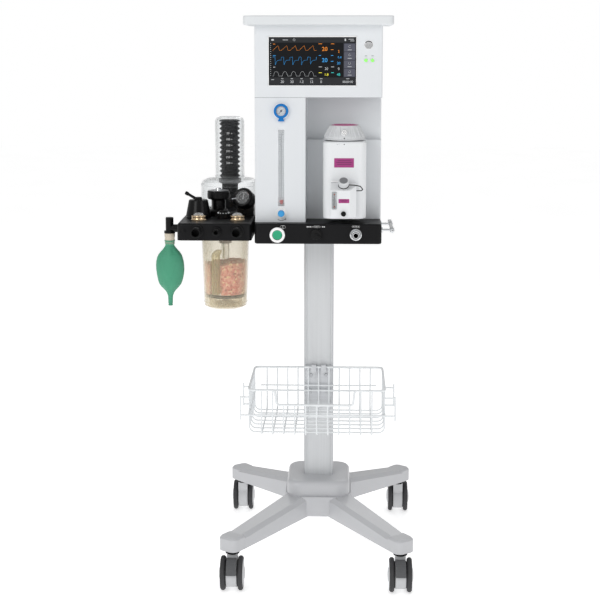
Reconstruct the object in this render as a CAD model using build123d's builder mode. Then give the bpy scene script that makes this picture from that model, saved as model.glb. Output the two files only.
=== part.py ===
"""Veterinary anesthesia machine: column-mounted head, vaporizer, absorber and wheeled base."""
import os
from build123d import *

# ---- driving dimensions (mm) --------------------------------------------------------------
COLUMN_X = 74.0        # column axis, measured from the middle of the whole machine
AXIS_Y = 20.0
WHEEL_R = 39.0
WHEEL_W = 13.0
WHEEL_GAP = 25.0
TRAIL = 18.0
LEG_UNDER = 90.0
LEG_TIP_TOP = 123.0
HUB_TOP = 188.0
FRONT_STEM = (192.0, -286.0)
REAR_STEM = (206.0, 246.0)
COLUMN_W = 71.0
COLUMN_D = 70.0
COLUMN_FRONT = -32.0
SLAB_UNDER = 778.0
SLAB_TOP = 825.0
SLAB_FRONT = -162.5
CAB_HALF = 146.5
CAB_FRONT = -134.0
CAB_BACK = 90.0
CAB_TOP = 1277.0
HEAD_UNDER = 1113.0
SHELF_TOP = 1298.0
BLOCK_UNDER = 785.0
FLOW_X = -85.5
VAP_X = 60.6
VAP_Y = -115.0
CAN_X = -225.0
CAN_Y = -30.0
BELL_X = -224.0
BELL_Y = 107.0
BAG_X = -349.0
BAG_Y = -110.0
RUN = 0.05             # radial clearance of a running fit


# ---- planes measured from the column axis ---------------------------------------------------
def level(z, x=0.0, y=0.0):
    """Horizontal plane at height z, its origin x, y from the column axis."""
    return Plane((COLUMN_X + x, AXIS_Y + y, z))


def front(y, x=0.0, z=0.0):
    """Upright plane facing the operator; extrusions come towards the front."""
    return Plane((COLUMN_X + x, AXIS_Y + y, z), x_dir=(1, 0, 0), z_dir=(0, -1, 0))


def side(x, y=0.0, z=0.0):
    """Upright plane facing right; sketch axes are depth and height."""
    return Plane((COLUMN_X + x, AXIS_Y + y, z), x_dir=(0, 1, 0), z_dir=(1, 0, 0))


def at(x, y, z):
    """Point measured from the column axis at floor level."""
    return (COLUMN_X + x, AXIS_Y + y, z)


def save(part, name):
    """Label one finished sub-part and write its STEP file."""
    part.label = name
    export_step(part, f"parts/{name}.step")


def rod(start, end, radius):
    """Add a straight round bar between two points to the open part."""
    a = Vector(*at(*start))
    b = Vector(*at(*end))
    with BuildSketch(Plane(a, z_dir=b - a)) as end_face:
        Circle(radius)
    extrude(end_face.sketch, amount=(b - a).length)


def wire(points, bend, radius):
    """Add a round wire through points, its corners bent to one radius."""
    with BuildLine() as route:
        FilletPolyline(*[at(*p) for p in points], radius=bend)
    with BuildSketch(Plane(route.line @ 0, z_dir=route.line % 0)) as end_face:
        Circle(radius)
    sweep(end_face.sketch, path=route.line)


def slab_box(x0, x1, y0, y1, z0, z1, mode=Mode.ADD):
    """Add or cut an upright box given by its limits."""
    with BuildSketch(level(z0, (x0 + x1) / 2, (y0 + y1) / 2)) as foot:
        Rectangle(x1 - x0, y1 - y0)
    extrude(foot.sketch, amount=z1 - z0, mode=mode)


def disc(plane, radius, length, mode=Mode.ADD):
    """Add or cut a round boss standing on a plane."""
    with BuildSketch(plane) as foot:
        Circle(radius)
    extrude(foot.sketch, amount=length, mode=mode)


def turned(plane, profile):
    """Add a turned shape: profile points are (radius, height) above the plane."""
    spin = Plane(plane.origin, x_dir=plane.x_dir, z_dir=-plane.y_dir)
    with BuildSketch(spin) as half:
        with BuildLine():
            Polyline(*profile, close=True)
        make_face()
    revolve(half.sketch, axis=Axis(plane.origin, plane.z_dir))


os.makedirs("parts", exist_ok=True)


# ---- base casting ----------------------------------------------------------------------------
def leg(stem):
    """One tapering leg, bevelled along its top, from the hub to its rounded tip."""
    way = Vector(*stem, 0).normalized()
    across = Vector(-way.Y, way.X, 0)
    reach = Vector(*stem, 0).length
    ends = []
    for run, half, low, top in ((62, 34, 104, 156), (reach - 12, 25, LEG_UNDER, LEG_TIP_TOP)):
        root = Plane(at(way.X * run, way.Y * run, 0), x_dir=across, z_dir=way)
        up = 1 if root.y_dir.Z > 0 else -1
        with BuildSketch(root) as section:
            with BuildLine():
                Polyline((-half, up * low), (half, up * low), (half, up * (top - 9)),
                         (half - 9, up * top), (9 - half, up * top), (-half, up * (top - 9)), close=True)
            make_face()
        ends.append(section.sketch)
    loft(ends, ruled=True)
    tip = Plane(at(*stem, LEG_UNDER), x_dir=across, z_dir=(0, 0, 1))
    with BuildSketch(tip) as pad:
        RectangleRounded(50, 50, 15)
    extrude(pad.sketch, amount=LEG_TIP_TOP - LEG_UNDER - 5)
    with BuildSketch(tip.offset(LEG_TIP_TOP - LEG_UNDER - 5)) as crown:
        RectangleRounded(50, 50, 15)
    extrude(crown.sketch, amount=5, taper=42)


with BuildPart() as base:
    with BuildSketch(level(104)):
        with BuildLine():
            Polyline((-42, -100), (42, -100), (80, -64), (80, 62), (42, 106), (-42, 106), (-80, 62),
                     (-80, -64), close=True)
        make_face()
    extrude(amount=48)
    for sx in (-1, 1):
        for stem in (FRONT_STEM, REAR_STEM):
            leg((sx * stem[0], stem[1]))
    with BuildSketch(level(104)):
        RectangleRounded(108, 150, 20)
    extrude(amount=38, mode=Mode.SUBTRACT)
    with BuildPart(mode=Mode.PRIVATE) as hub:
        with BuildSketch(level(144)):
            RectangleRounded(152, 182, 34)
        extrude(amount=HUB_TOP - 144)
        fillet(hub.edges().group_by(Axis.Z)[-1], 12)
    add(hub.part)
    for sx in (-1, 1):
        for stem in (FRONT_STEM, REAR_STEM):
            disc(level(LEG_UNDER, sx * stem[0], stem[1]), 8 + RUN, 26, Mode.SUBTRACT)
save(base.part, "base_casting")

# ---- column ------------------------------------------------------------------------------------
COLUMN_Y = COLUMN_FRONT + COLUMN_D / 2
with BuildPart() as column:
    with BuildSketch(level(HUB_TOP, 0, COLUMN_Y)):
        RectangleRounded(COLUMN_W, COLUMN_D, 6)
        RectangleRounded(COLUMN_W - 7, COLUMN_D - 7, 3, mode=Mode.SUBTRACT)
        with Locations((COLUMN_W / 2 - 7, -COLUMN_D / 2), (7 - COLUMN_W / 2, -COLUMN_D / 2),
                       (COLUMN_W / 2 - 7, COLUMN_D / 2), (7 - COLUMN_W / 2, COLUMN_D / 2)):
            Rectangle(2.5, 2.5, mode=Mode.SUBTRACT)
    extrude(amount=SLAB_UNDER - 6 - HUB_TOP)
    with BuildSketch(level(SLAB_UNDER - 6, 0, COLUMN_Y)):
        RectangleRounded(120, 104, 8)
        with GridLocations(98, 82, 2, 2):
            Circle(4, mode=Mode.SUBTRACT)
    extrude(amount=6)
save(column.part, "column")


# ---- casters -----------------------------------------------------------------------------------
def caster(name, stem, sx, way):
    """Swivelling housing, wheel pair and, in front, the brake pedal of one caster."""
    braked = way < 0
    cx = sx * stem[0]
    cy = stem[1]
    ay = cy + way * TRAIL
    with BuildPart() as fork:
        disc(side(cx - 12, ay, WHEEL_R), 32, 24)
        with BuildSketch(side(cx - 12)):
            with BuildLine():
                Polyline((cy - way * 13, 82), (cy - way * 13, 62), (ay - way * 22, 44), (ay, 44),
                         (ay + way * 4, 70), (cy + way * 13, 74), (cy + way * 13, 82), close=True)
            make_face()
        extrude(amount=24)
        disc(level(81, cx, cy), 13.5, 8.7)
        disc(level(89, cx, cy), 8, 25)
        if braked:
            slab_box(cx - 2.2, cx + 2.2, ay - 60, ay + 10, 29, 73, Mode.SUBTRACT)
        disc(side(cx - 24.5, ay, WHEEL_R), 4, 49)
    save(fork.part, f"caster_fork_{name}")
    with BuildPart() as wheels:
        for out in (-1, 1):
            inner = side(cx + out * WHEEL_GAP / 2, ay, WHEEL_R)
            flat = Plane(inner.origin, x_dir=(0, 1, 0), z_dir=(out, 0, 0))
            turned(flat, [(4 + RUN, 0), (30, 0), (30, 2), (WHEEL_R - 3, 2), (WHEEL_R, 5),
                          (WHEEL_R, WHEEL_W - 3), (WHEEL_R - 3, WHEEL_W), (30, WHEEL_W),
                          (28, WHEEL_W - 2), (20, WHEEL_W), (12, WHEEL_W + 3),
                          (0, WHEEL_W + 3.6), (0, 12.3), (4 + RUN, 12.3)])
    save(wheels.part, f"caster_wheels_{name}")
    if braked:
        with BuildPart() as pedal:
            with BuildSketch(side(cx - 11.4, ay, WHEEL_R)):
                with BuildLine():
                    CenterArc((0, 0), 33.2, 100, 70)
                    CenterArc((0, 0), 39.2, 100, 70)
                    Line(Vector(33.2, 0).rotate(Axis.Z, 100), Vector(39.2, 0).rotate(Axis.Z, 100))
                    Line(Vector(33.2, 0).rotate(Axis.Z, 170), Vector(39.2, 0).rotate(Axis.Z, 170))
                make_face()
            extrude(amount=22.8)
            for step in range(11):
                lean = Vector(39.2, 0).rotate(Axis.Z, 103 + step * 6.5)
                disc(side(cx - 11.4, ay + lean.X, WHEEL_R + lean.Y), 0.9, 22.8)
            with BuildSketch(side(cx - 1.5, ay, WHEEL_R)):
                with BuildLine():
                    Polyline((0, 0), Vector(33.6, 0).rotate(Axis.Z, 106),
                             Vector(34.4, 0).rotate(Axis.Z, 128),
                             Vector(33.6, 0).rotate(Axis.Z, 150), close=True)
                make_face()
                Circle(8)
                Circle(4 + RUN, mode=Mode.SUBTRACT)
            extrude(amount=3)
        save(pedal.part, f"brake_pedal_{name}")


caster("front_left", FRONT_STEM, -1, -1)
caster("front_right", FRONT_STEM, 1, -1)
caster("rear_left", REAR_STEM, -1, 1)
caster("rear_right", REAR_STEM, 1, 1)

# ---- wire basket ---------------------------------------------------------------------------------
BASKET_HALF = 154.0
BASKET_FRONT = -275.0
BASKET_BACK = -42.0
BASKET_RIM = 460.0
BASKET_FLOOR = 358.0
DIP = 34.0
CORNER = 14.0
RING_Z = 402.0
HOOK_LOW = 397.0
HOOK_HIGH = 439.0
RIM_R = 2.75
WIRE_R = 1.75
EDGE = BASKET_HALF - CORNER
POSTS = [-125 + 25 * i for i in range(11)]
HOOPS = [BASKET_FRONT + CORNER + 4 + 33 * i for i in range(7)]
POST_FOOT = 393.0

with BuildPart() as basket_back:
    rod((-EDGE, BASKET_BACK, BASKET_RIM), (EDGE, BASKET_BACK, BASKET_RIM), RIM_R)
    rod((-EDGE, BASKET_BACK, RING_Z), (EDGE, BASKET_BACK, RING_Z), 2.2)
    rod((-EDGE, BASKET_BACK, RING_Z + 13), (EDGE, BASKET_BACK, RING_Z + 13), WIRE_R)
    for x in POSTS:
        wire([(x, BASKET_BACK, BASKET_RIM), (x, BASKET_BACK, BASKET_FLOOR - 3.1),
              (x, BASKET_BACK - CORNER, BASKET_FLOOR - 3.1)], CORNER - 1, WIRE_R)
save(basket_back.part, "basket_back")

with BuildPart() as basket_front:
    wire([(-EDGE, BASKET_FRONT, BASKET_RIM), (-95, BASKET_FRONT, BASKET_RIM),
          (-90, BASKET_FRONT, BASKET_RIM - DIP), (82, BASKET_FRONT, BASKET_RIM - DIP),
          (86, BASKET_FRONT, BASKET_RIM), (EDGE, BASKET_FRONT, BASKET_RIM)], 7, RIM_R)
    rod((-EDGE, BASKET_FRONT, RING_Z), (EDGE, BASKET_FRONT, RING_Z), 2.2)
    for x in POSTS:
        top = BASKET_RIM - DIP if -90 < x < 82 else BASKET_RIM
        wire([(x, BASKET_FRONT, top), (x, BASKET_FRONT, BASKET_FLOOR - 3.1),
              (x, BASKET_FRONT + CORNER, BASKET_FLOOR - 3.1)], CORNER - 1, WIRE_R)
save(basket_front.part, "basket_front")


def basket_end(sx, reach):
    """One end panel with its rounded corners and two outward hanging bars."""
    x = sx * BASKET_HALF
    for z, r in ((BASKET_RIM, RIM_R), (RING_Z, 2.2)):
        wire([(sx * EDGE, BASKET_FRONT, z), (x, BASKET_FRONT, z), (x, BASKET_BACK, z),
              (sx * EDGE, BASKET_BACK, z)], CORNER - 0.5, r)
    for y in HOOPS:
        rod((x, y, POST_FOOT), (x, y, BASKET_RIM), WIRE_R)
    for y, low, high in ((HOOPS[0], 11, 2.6), (HOOPS[3], 2.6, 9)):
        for z in (HOOK_LOW, HOOK_HIGH):
            rod((x, y, z), (x + sx * reach, y, z), 1.9)
        rod((x + sx * reach, y, HOOK_LOW - low), (x + sx * reach, y, HOOK_HIGH + high), 1.9)


with BuildPart() as basket_left:
    basket_end(-1, 20)
save(basket_left.part, "basket_left")

with BuildPart() as basket_right:
    basket_end(1, 24)
save(basket_right.part, "basket_right")

with BuildPart() as basket_floor:
    for y in HOOPS:
        wire([(-BASKET_HALF, y, POST_FOOT), (-BASKET_HALF, y, BASKET_FLOOR),
              (BASKET_HALF, y, BASKET_FLOOR), (BASKET_HALF, y, POST_FOOT)], CORNER, WIRE_R)
    for x in POSTS:
        rod((x, BASKET_FRONT + CORNER, BASKET_FLOOR - 3.1), (x, BASKET_BACK - CORNER, BASKET_FLOOR - 3.1),
            WIRE_R)
save(basket_floor.part, "basket_floor")

with BuildPart() as bracket:
    slab_box(-32.5, 32.5, COLUMN_FRONT - 3, COLUMN_FRONT, 376, 463)
    for x in (-12, 12):
        slab_box(x - 6, x + 6, BASKET_BACK - 6, COLUMN_FRONT - 3, 463.5, 466)
        slab_box(x - 6, x + 6, BASKET_BACK - 6, BASKET_BACK - 3.4, 449, 463.5)
        slab_box(x - 6, x + 6, COLUMN_FRONT - 3, COLUMN_FRONT - 1, 458, 466)
    for x in (-18, 18):
        for z in (399, 439):
            turned(front(COLUMN_FRONT - 3, x, z), [(0, 0), (4.2, 0), (4.2, 1.6), (3, 3), (1.6, 3),
                                                   (1.6, 1.4), (0, 1.4)])
save(bracket.part, "basket_bracket")

# ---- manifold slab and its controls --------------------------------------------------------------
FLUSH = (-93.6, 799.0)
SELECTOR = (-4.2, 801.0)
OUTLET = (87.2, 800.5)
with BuildPart() as slab:
    with BuildSketch(level(SLAB_UNDER, 0, (SLAB_FRONT + CAB_BACK) / 2)):
        RectangleRounded(2 * CAB_HALF, CAB_BACK - SLAB_FRONT, 8)
    extrude(amount=SLAB_TOP - SLAB_UNDER)
    fillet(slab.edges().group_by(Axis.Z)[-1], 4)
    fillet(slab.edges().group_by(Axis.Z)[0], 4)
    disc(front(SLAB_FRONT, *FLUSH), 17.3, 3.0)
    disc(front(SLAB_FRONT + 20, *FLUSH), 11.2 + RUN, 30, Mode.SUBTRACT)
    disc(front(SLAB_FRONT + 16, *SELECTOR), 3 + RUN, 30, Mode.SUBTRACT)
    disc(front(SLAB_FRONT + 26, *OUTLET), 9, 30, Mode.SUBTRACT)
save(slab.part, "manifold_slab")

with BuildPart() as flush:
    disc(front(SLAB_FRONT + 12, *FLUSH), 11.2, 14.2)
    fillet(flush.edges().group_by(Axis.Y)[0], 1.5)
save(flush.part, "flush_button")

with BuildPart() as selector:
    disc(front(SLAB_FRONT - 0.4, *SELECTOR), 12.2, 9)
    fillet(selector.edges().group_by(Axis.Y)[0], 1.2)
    disc(front(SLAB_FRONT + 12, *SELECTOR), 3, 13)
    with BuildSketch(front(SLAB_FRONT - 9, *SELECTOR)):
        with Locations((5.2, -4.2)):
            Rectangle(17, 4.4, rotation=-39)
    extrude(amount=6)
save(selector.part, "selector_knob")

with BuildPart() as outlet:
    turned(front(SLAB_FRONT + 24, *OUTLET), [(5.5, 0), (9, 0), (9, 24), (13.6, 24), (13.6, 29),
                                             (11, 31), (11, 44), (10, 46), (5.5, 46)])
save(outlet.part, "gas_outlet")

RAIL_Z = 808.0
with BuildPart() as rail:
    rod((171, 35, RAIL_Z), (171, -156, RAIL_Z), 4.5)
    for y in (-131, -18):
        rod((CAB_HALF, y, RAIL_Z), (170, y, RAIL_Z), 3.0)
        rod((171, y + 4.5, RAIL_Z), (171, y - 4.5, RAIL_Z), 6.2)
        disc(side(CAB_HALF, y, RAIL_Z), 7, 3)
save(rail.part, "side_rail")

# ---- cabinet -------------------------------------------------------------------------------------
SCREEN_X = -13.8
SCREEN_W = 199.6
SCREEN_Z = 1195.2
SCREEN_H = 109.6
with BuildPart() as head:
    slab_box(-CAB_HALF, CAB_HALF, CAB_FRONT, CAB_BACK, HEAD_UNDER, CAB_TOP)
    fillet(head.edges().filter_by(Axis.Z), 5)
    slab_box(3 - CAB_HALF, CAB_HALF - 3, CAB_FRONT + 3, CAB_BACK - 3, HEAD_UNDER + 3, CAB_TOP,
             Mode.SUBTRACT)
    with BuildSketch(front(CAB_FRONT + 3, SCREEN_X, SCREEN_Z)):
        Rectangle(SCREEN_W, SCREEN_H)
    extrude(amount=5, mode=Mode.SUBTRACT)
    slab_box(-132, 132, CAB_BACK, CAB_BACK + 2, HEAD_UNDER + 14, CAB_TOP - 14)
    for x in (-124, 124):
        for z in (HEAD_UNDER + 22, CAB_TOP - 22):
            disc(Plane(at(x, CAB_BACK + 2, z), z_dir=(0, 1, 0)), 4, 2)
save(head.part, "cabinet_head")

GAUGE_Z = 1082.2
FLOW_KNOB_Z = 846.5
RECESS_LEFT = -29.0
CONSOLE_Y = -62.0
UPPER_WALL_Y = -48.0
CONSOLE_TOP = 1012.0
FLOW_FOOT = 862.0
with BuildPart() as lower:
    slab_box(-CAB_HALF, CAB_HALF, CAB_FRONT, CAB_BACK, SLAB_TOP, HEAD_UNDER)
    slab_box(RECESS_LEFT, 200, -200, CONSOLE_Y, 800, 1200, Mode.SUBTRACT)
    slab_box(RECESS_LEFT, 200, -200, UPPER_WALL_Y, CONSOLE_TOP, 1200, Mode.SUBTRACT)
    fillet(lower.edges().filter_by(Axis.Z), 3)
    slab_box(3 - CAB_HALF, RECESS_LEFT - 3, CAB_FRONT + 3, CAB_BACK - 3, SLAB_TOP + 3,
             HEAD_UNDER - 3, Mode.SUBTRACT)
    slab_box(RECESS_LEFT, CAB_HALF - 3, CONSOLE_Y + 3, CAB_BACK - 3, SLAB_TOP + 3,
             CONSOLE_TOP - 3, Mode.SUBTRACT)
    slab_box(RECESS_LEFT, CAB_HALF - 3, UPPER_WALL_Y + 3, CAB_BACK - 3, CONSOLE_TOP - 4,
             HEAD_UNDER - 3, Mode.SUBTRACT)
    slab_box(FLOW_X - 8.2, FLOW_X + 8.2, CAB_FRONT - 5, CAB_FRONT + 5, FLOW_FOOT, FLOW_FOOT + 178,
             Mode.SUBTRACT)
    disc(front(CAB_FRONT + 5, FLOW_X, FLOW_KNOB_Z), 3 + RUN, 10, Mode.SUBTRACT)
    slab_box(-132, 132, CAB_BACK, CAB_BACK + 2, SLAB_TOP + 12, HEAD_UNDER - 12)
    for x in (-124, 124):
        for z in (SLAB_TOP + 20, HEAD_UNDER - 20):
            disc(Plane(at(x, CAB_BACK + 2, z), z_dir=(0, 1, 0)), 4, 2)
save(lower.part, "cabinet_lower")

with BuildPart() as shelf:
    slab_box(-171, 171, -160, 100, CAB_TOP, SHELF_TOP)
    fillet(shelf.edges().filter_by(Axis.Z), 13)
    fillet(shelf.edges().group_by(Axis.Z)[-1], 3)
    fillet(shelf.edges().group_by(Axis.Z)[0], 3)
    with BuildSketch(level(SHELF_TOP - 3, 0, -30)):
        RectangleRounded(326, 244, 9)
    extrude(amount=10, mode=Mode.SUBTRACT)
save(shelf.part, "shelf")

LAMPS = ((108.2, 1197.3), (123.0, 1197.3))
with BuildPart() as display:
    with BuildSketch(front(CAB_FRONT + 4.5, SCREEN_X, SCREEN_Z)):
        Rectangle(SCREEN_W, SCREEN_H)
    extrude(amount=4)
    for lamp in LAMPS:
        disc(front(CAB_FRONT, *lamp), 3.7, 1.4)
save(display.part, "display")

# ---- oxygen gauge --------------------------------------------------------------------------------
with BuildPart() as gauge:
    turned(front(CAB_FRONT, FLOW_X, GAUGE_Z), [(0, 0), (16.9, 0), (16.9, 8), (15.6, 9), (11.4, 9),
                                               (11.4, 3), (1, 3), (1, 6.6), (0, 6.6)])
    with BuildSketch(front(CAB_FRONT, FLOW_X, GAUGE_Z - 15.5)):
        with BuildLine():
            Polyline((-4, 2), (4, 2), (7, -8), (-7, -8), close=True)
        make_face()
    extrude(amount=6)
save(gauge.part, "oxygen_gauge")


def needle(plane, reach):
    """Tapered pointer with its boss on a gauge spindle of 1 mm radius."""
    with BuildSketch(plane) as hand:
        with BuildLine():
            Polyline((-4, -1), (reach, -0.25), (reach, 0.25), (-4, 1), close=True)
        make_face()
        Circle(2.4)
        Circle(1 + RUN, mode=Mode.SUBTRACT)
    extrude(hand.sketch, amount=0.8)


NEEDLE_WAY = (-0.62, 0, -0.785)
with BuildPart() as oxygen_needle:
    needle(Plane(at(FLOW_X, CAB_FRONT - 4.6, GAUGE_Z), x_dir=NEEDLE_WAY, z_dir=(0, -1, 0)), 8.6)
save(oxygen_needle.part, "oxygen_needle")

# ---- flowmeter -----------------------------------------------------------------------------------
with BuildPart() as tube:
    turned(level(FLOW_FOOT, FLOW_X, CAB_FRONT + 7.5), [(0, 0), (7, 0), (7, 178), (5, 178), (5, 4),
                                                       (0, 4)])
    disc(level(FLOW_FOOT + 171, FLOW_X, CAB_FRONT + 7.5), 5, 7)
save(tube.part, "flow_tube")

with BuildPart() as bobbin:
    turned(level(FLOW_FOOT + 4, FLOW_X, CAB_FRONT + 7.5), [(0, 0.1), (2, 0.1), (4.6, 5), (4.6, 10),
                                                           (0, 10)])
save(bobbin.part, "flow_float")

with BuildPart() as flow_knob:
    turned(front(CAB_FRONT - 0.4, FLOW_X, FLOW_KNOB_Z), [(0, 0), (10.7, 0), (10.7, 4), (9, 6), (7.5, 6),
                                                         (7.5, 15), (6.5, 16), (0, 16)])
    disc(front(CAB_FRONT + 12, FLOW_X, FLOW_KNOB_Z), 3, 13)
    with BuildSketch(front(CAB_FRONT - 6, FLOW_X, FLOW_KNOB_Z)):
        with PolarLocations(7.5, 18):
            Circle(0.7, mode=Mode.ADD)
    extrude(amount=9, mode=Mode.SUBTRACT)
save(flow_knob.part, "flow_knob")

# ---- vaporizer -----------------------------------------------------------------------------------
VAP_FOOT = 836.0
VAP_SHOULDER = 1014.0
with BuildPart() as vaporizer:
    with BuildSketch(level(VAP_FOOT, VAP_X, VAP_Y)):
        RectangleRounded(99.4, 90, 22)
    extrude(amount=VAP_SHOULDER - VAP_FOOT)
    fillet(vaporizer.edges().group_by(Axis.Z)[-1], 5)
    fillet(vaporizer.edges().group_by(Axis.Z)[0], 3)
    with BuildSketch(side(VAP_X - 31)):
        with BuildLine():
            Polyline((-150, 843), (-190, 843), (-190, 905), (-172, 921), (-150, 921), close=True)
        make_face()
    extrude(amount=58)
    with BuildSketch(level(840, VAP_X + 27, -190)):
        with BuildLine():
            Polyline((-14, 0), (0, 11), (4, 11), (4, -4), (-14, -4), close=True)
        make_face()
    extrude(amount=90, mode=Mode.SUBTRACT)
    slab_box(VAP_X - 34, VAP_X + 34, -74, CONSOLE_Y, 934, 988)
    disc(level(VAP_SHOULDER - 3, VAP_X, VAP_Y), 30, 5)
    disc(level(VAP_SHOULDER - 40, VAP_X, VAP_Y), 8 + RUN, 50, Mode.SUBTRACT)
    disc(front(-170, VAP_X - 2, 852.0), 2.5 + RUN, 30, Mode.SUBTRACT)
    neck = Plane(at(VAP_X - 2, -181, 913), x_dir=(1, 0, 0), z_dir=(0, -0.664, 0.747))
    disc(neck.offset(-14), 7.4 + RUN, 30, Mode.SUBTRACT)
save(vaporizer.part, "vaporizer_body")

DIAL_FOOT = VAP_SHOULDER + 2.4
with BuildPart() as dial:
    turned(level(DIAL_FOOT, VAP_X, VAP_Y), [(0, 0), (47, 0), (47.5, 2), (46, 8), (38.5, 22), (35.5, 30),
                                            (34.6, 32), (33, 33), (26, 33), (25.2, 34.2), (0, 34.2)])
    for i in range(40):
        grip = Plane.XY.rotated((0, 0, 9 * i))
        with BuildSketch(Plane(at(VAP_X, VAP_Y, DIAL_FOOT + 2), x_dir=grip.x_dir, z_dir=(0, 0, 1))):
            with Locations((47.4, 0)):
                Circle(1.1)
        extrude(amount=6, mode=Mode.SUBTRACT)
    disc(level(DIAL_FOOT - 32, VAP_X, VAP_Y), 8, 33)
    disc(Plane(at(VAP_X - 1, VAP_Y - 36, DIAL_FOOT + 15), x_dir=(1, 0, 0), z_dir=(0, -0.9, 0.436)), 7.3, 9)
save(dial.part, "vaporizer_dial")

with BuildPart() as cap:
    turned(neck.offset(0.3), [(0, 0), (10.6, 0), (10.6, 4), (9.4, 4), (9.4, 7), (11.8, 7), (11.8, 18),
                              (10.4, 20), (0, 20)])
    disc(neck.offset(-12), 7.4, 13)
    for i in range(24):
        turn = Vector(1, 0, 0).rotate(Axis((0, 0, 0), neck.z_dir), 15 * i)
        with BuildSketch(Plane(neck.offset(8).origin, x_dir=turn, z_dir=neck.z_dir)):
            with Locations((11.9, 0)):
                Circle(0.7)
        extrude(amount=9, mode=Mode.SUBTRACT)
save(cap.part, "filler_cap")

with BuildPart() as strap:
    with BuildSketch(neck.offset(4.9)):
        Circle(12.6)
        Circle(9.8, mode=Mode.SUBTRACT)
    extrude(amount=1.6)
    start = neck.offset(5.7).origin + Vector(12.0, 0, 0)
    with BuildLine():
        FilletPolyline(start, at(VAP_X + 22, -184.5, 917), at(VAP_X + 36, -181, 914),
                       at(VAP_X + 42, -176, 906), at(VAP_X + 38, -172.6, 903),
                       at(VAP_X + 27, -172.6, 903), radius=3.0)
    with BuildSketch(Plane(start, z_dir=Vector(*at(VAP_X + 22, -184.5, 917)) - start)):
        Circle(1.1)
    sweep()
save(strap.part, "cap_strap")

with BuildPart() as sight:
    with BuildSketch(front(-190, VAP_X - 23, 882.0)):
        RectangleRounded(11.5, 40, 2)
    extrude(amount=2.5)
save(sight.part, "sight_glass")

with BuildPart() as drain:
    disc(front(-190.3, VAP_X - 2, 852.0), 5.7, 7)
    fillet(drain.edges().group_by(Axis.Y)[0], 1)
    disc(front(-172, VAP_X - 2, 852.0), 2.5, 19)
    with BuildSketch(front(-196, VAP_X - 2, 852.0)):
        Rectangle(9, 1.4)
    extrude(amount=2, mode=Mode.SUBTRACT)
save(drain.part, "drain_screw")

# ---- absorber block and its valves ---------------------------------------------------------------
VALVES = ((-282.0, -92.0), (-191.0, -92.0))
PORTS = ((-280.0, 806.5), (-187.0, 806.5))
SWITCH = (-288.0, -41.0)
APL = (-243.0, -3.0)
RELEASE = (-226.0, -62.0)
ARM_Z = 814.0
with BuildPart() as block:
    with BuildSketch(level(BLOCK_UNDER, -240, 13.75)):
        RectangleRounded(172, 352.5, 12)
    extrude(amount=SLAB_TOP - BLOCK_UNDER)
    fillet(block.edges().group_by(Axis.Z)[-1], 6)
    slab_box(-156, -CAB_HALF, -60, 60, 790, 816)
    for x, y in VALVES:
        disc(level(SLAB_TOP - 14, x, y), 7, 20, Mode.SUBTRACT)
    for x, z in PORTS:
        disc(front(-120, x, z), 9, 60, Mode.SUBTRACT)
    disc(front(-130, -233.7, 806.5), 5, 60, Mode.SUBTRACT)
    disc(level(SLAB_TOP - 12, *SWITCH), 4 + RUN, 20, Mode.SUBTRACT)
    disc(level(SLAB_TOP - 12, *RELEASE), 4 + RUN, 20, Mode.SUBTRACT)
    disc(side(-330, BAG_Y, ARM_Z - 7), 7.6 + RUN, 24, Mode.SUBTRACT)
    disc(level(BLOCK_UNDER - 1, CAN_X, CAN_Y), 10, 22, Mode.SUBTRACT)
save(block.part, "absorber_block")

with BuildPart() as ports:
    for x, z in PORTS:
        turned(front(SLAB_FRONT, x, z), [(9, 0), (15, 0), (15, 5), (12.2, 7), (11.1, 8.5), (11.1, 30),
                                         (9, 30)])
    turned(front(SLAB_FRONT, -233.7, 806.5), [(5, 0), (10.2, 0), (10.2, 9), (7.2, 11), (6.6, 22), (5, 22)])
    turned(level(SLAB_TOP, BELL_X, BELL_Y), [(0, 0), (24, 0), (20, 6), (20, 66), (28, 70), (28, 79),
                                             (26, 80), (0, 80)])
    with BuildSketch(level(762, CAN_X, CAN_Y)):
        Circle(14.5)
        Circle(10, mode=Mode.SUBTRACT)
    extrude(amount=12)
save(ports.part, "circuit_ports")

with BuildPart() as steel:
    for x, y in VALVES:
        turned(level(SLAB_TOP, x, y), [(7, 0), (16.3, 0), (16.3, 6), (15, 8), (13, 8), (13, 1.5),
                                       (9, 1.5), (9, 2.2), (7, 2.2)])
    turned(level(724, CAN_X, CAN_Y), [(8.6, 0), (10, 0), (10, 82), (8.6, 82)])
save(steel.part, "steel_fittings")

GAUGE_FACE = Plane(at(-184, -22, 871.5), x_dir=(0.943, -0.333, 0), z_dir=(-0.3, -0.85, 0.433))
with BuildPart() as covers:
    for x, y in VALVES:
        turned(level(SLAB_TOP + 4, x, y), [(12.9, 0), (12.9, 5), (11.5, 9), (8, 12), (0, 13.4), (0, 12),
                                           (7, 10.8), (10.2, 8.2), (11.4, 5), (11.4, 0)])
    disc(front(CAB_FRONT - 7.6, FLOW_X, GAUGE_Z), 11.4, 1.2)
    disc(GAUGE_FACE.offset(-1.4), 17, 1.2)
save(covers.part, "clear_covers")

for tag, (x, y) in zip(("expiratory", "inspiratory"), VALVES):
    with BuildPart() as valve_disc:
        disc(level(SLAB_TOP + 2.2, x, y), 10.4, 0.8)
        disc(level(SLAB_TOP + 3.0, x, y), 2, 1.2)
    save(valve_disc.part, f"valve_disc_{tag}")

with BuildPart() as switch:
    turned(level(SLAB_TOP + 0.3, *SWITCH), [(0, -10), (4, -10), (4, 0), (30, 0), (30, 3), (22.8, 40),
                                            (20.8, 42), (9, 42), (9, 46), (7.5, 48), (0, 48)])
    lever = Plane(at(SWITCH[0], SWITCH[1], SLAB_TOP + 41), x_dir=(0, 1, 0), z_dir=(-0.863, 0, 0.506))
    turned(lever, [(0, 0), (3.4, 0), (3.4, 26), (4.6, 29), (4.6, 34), (3.2, 36), (0, 36)])
save(switch.part, "bag_switch")

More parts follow.
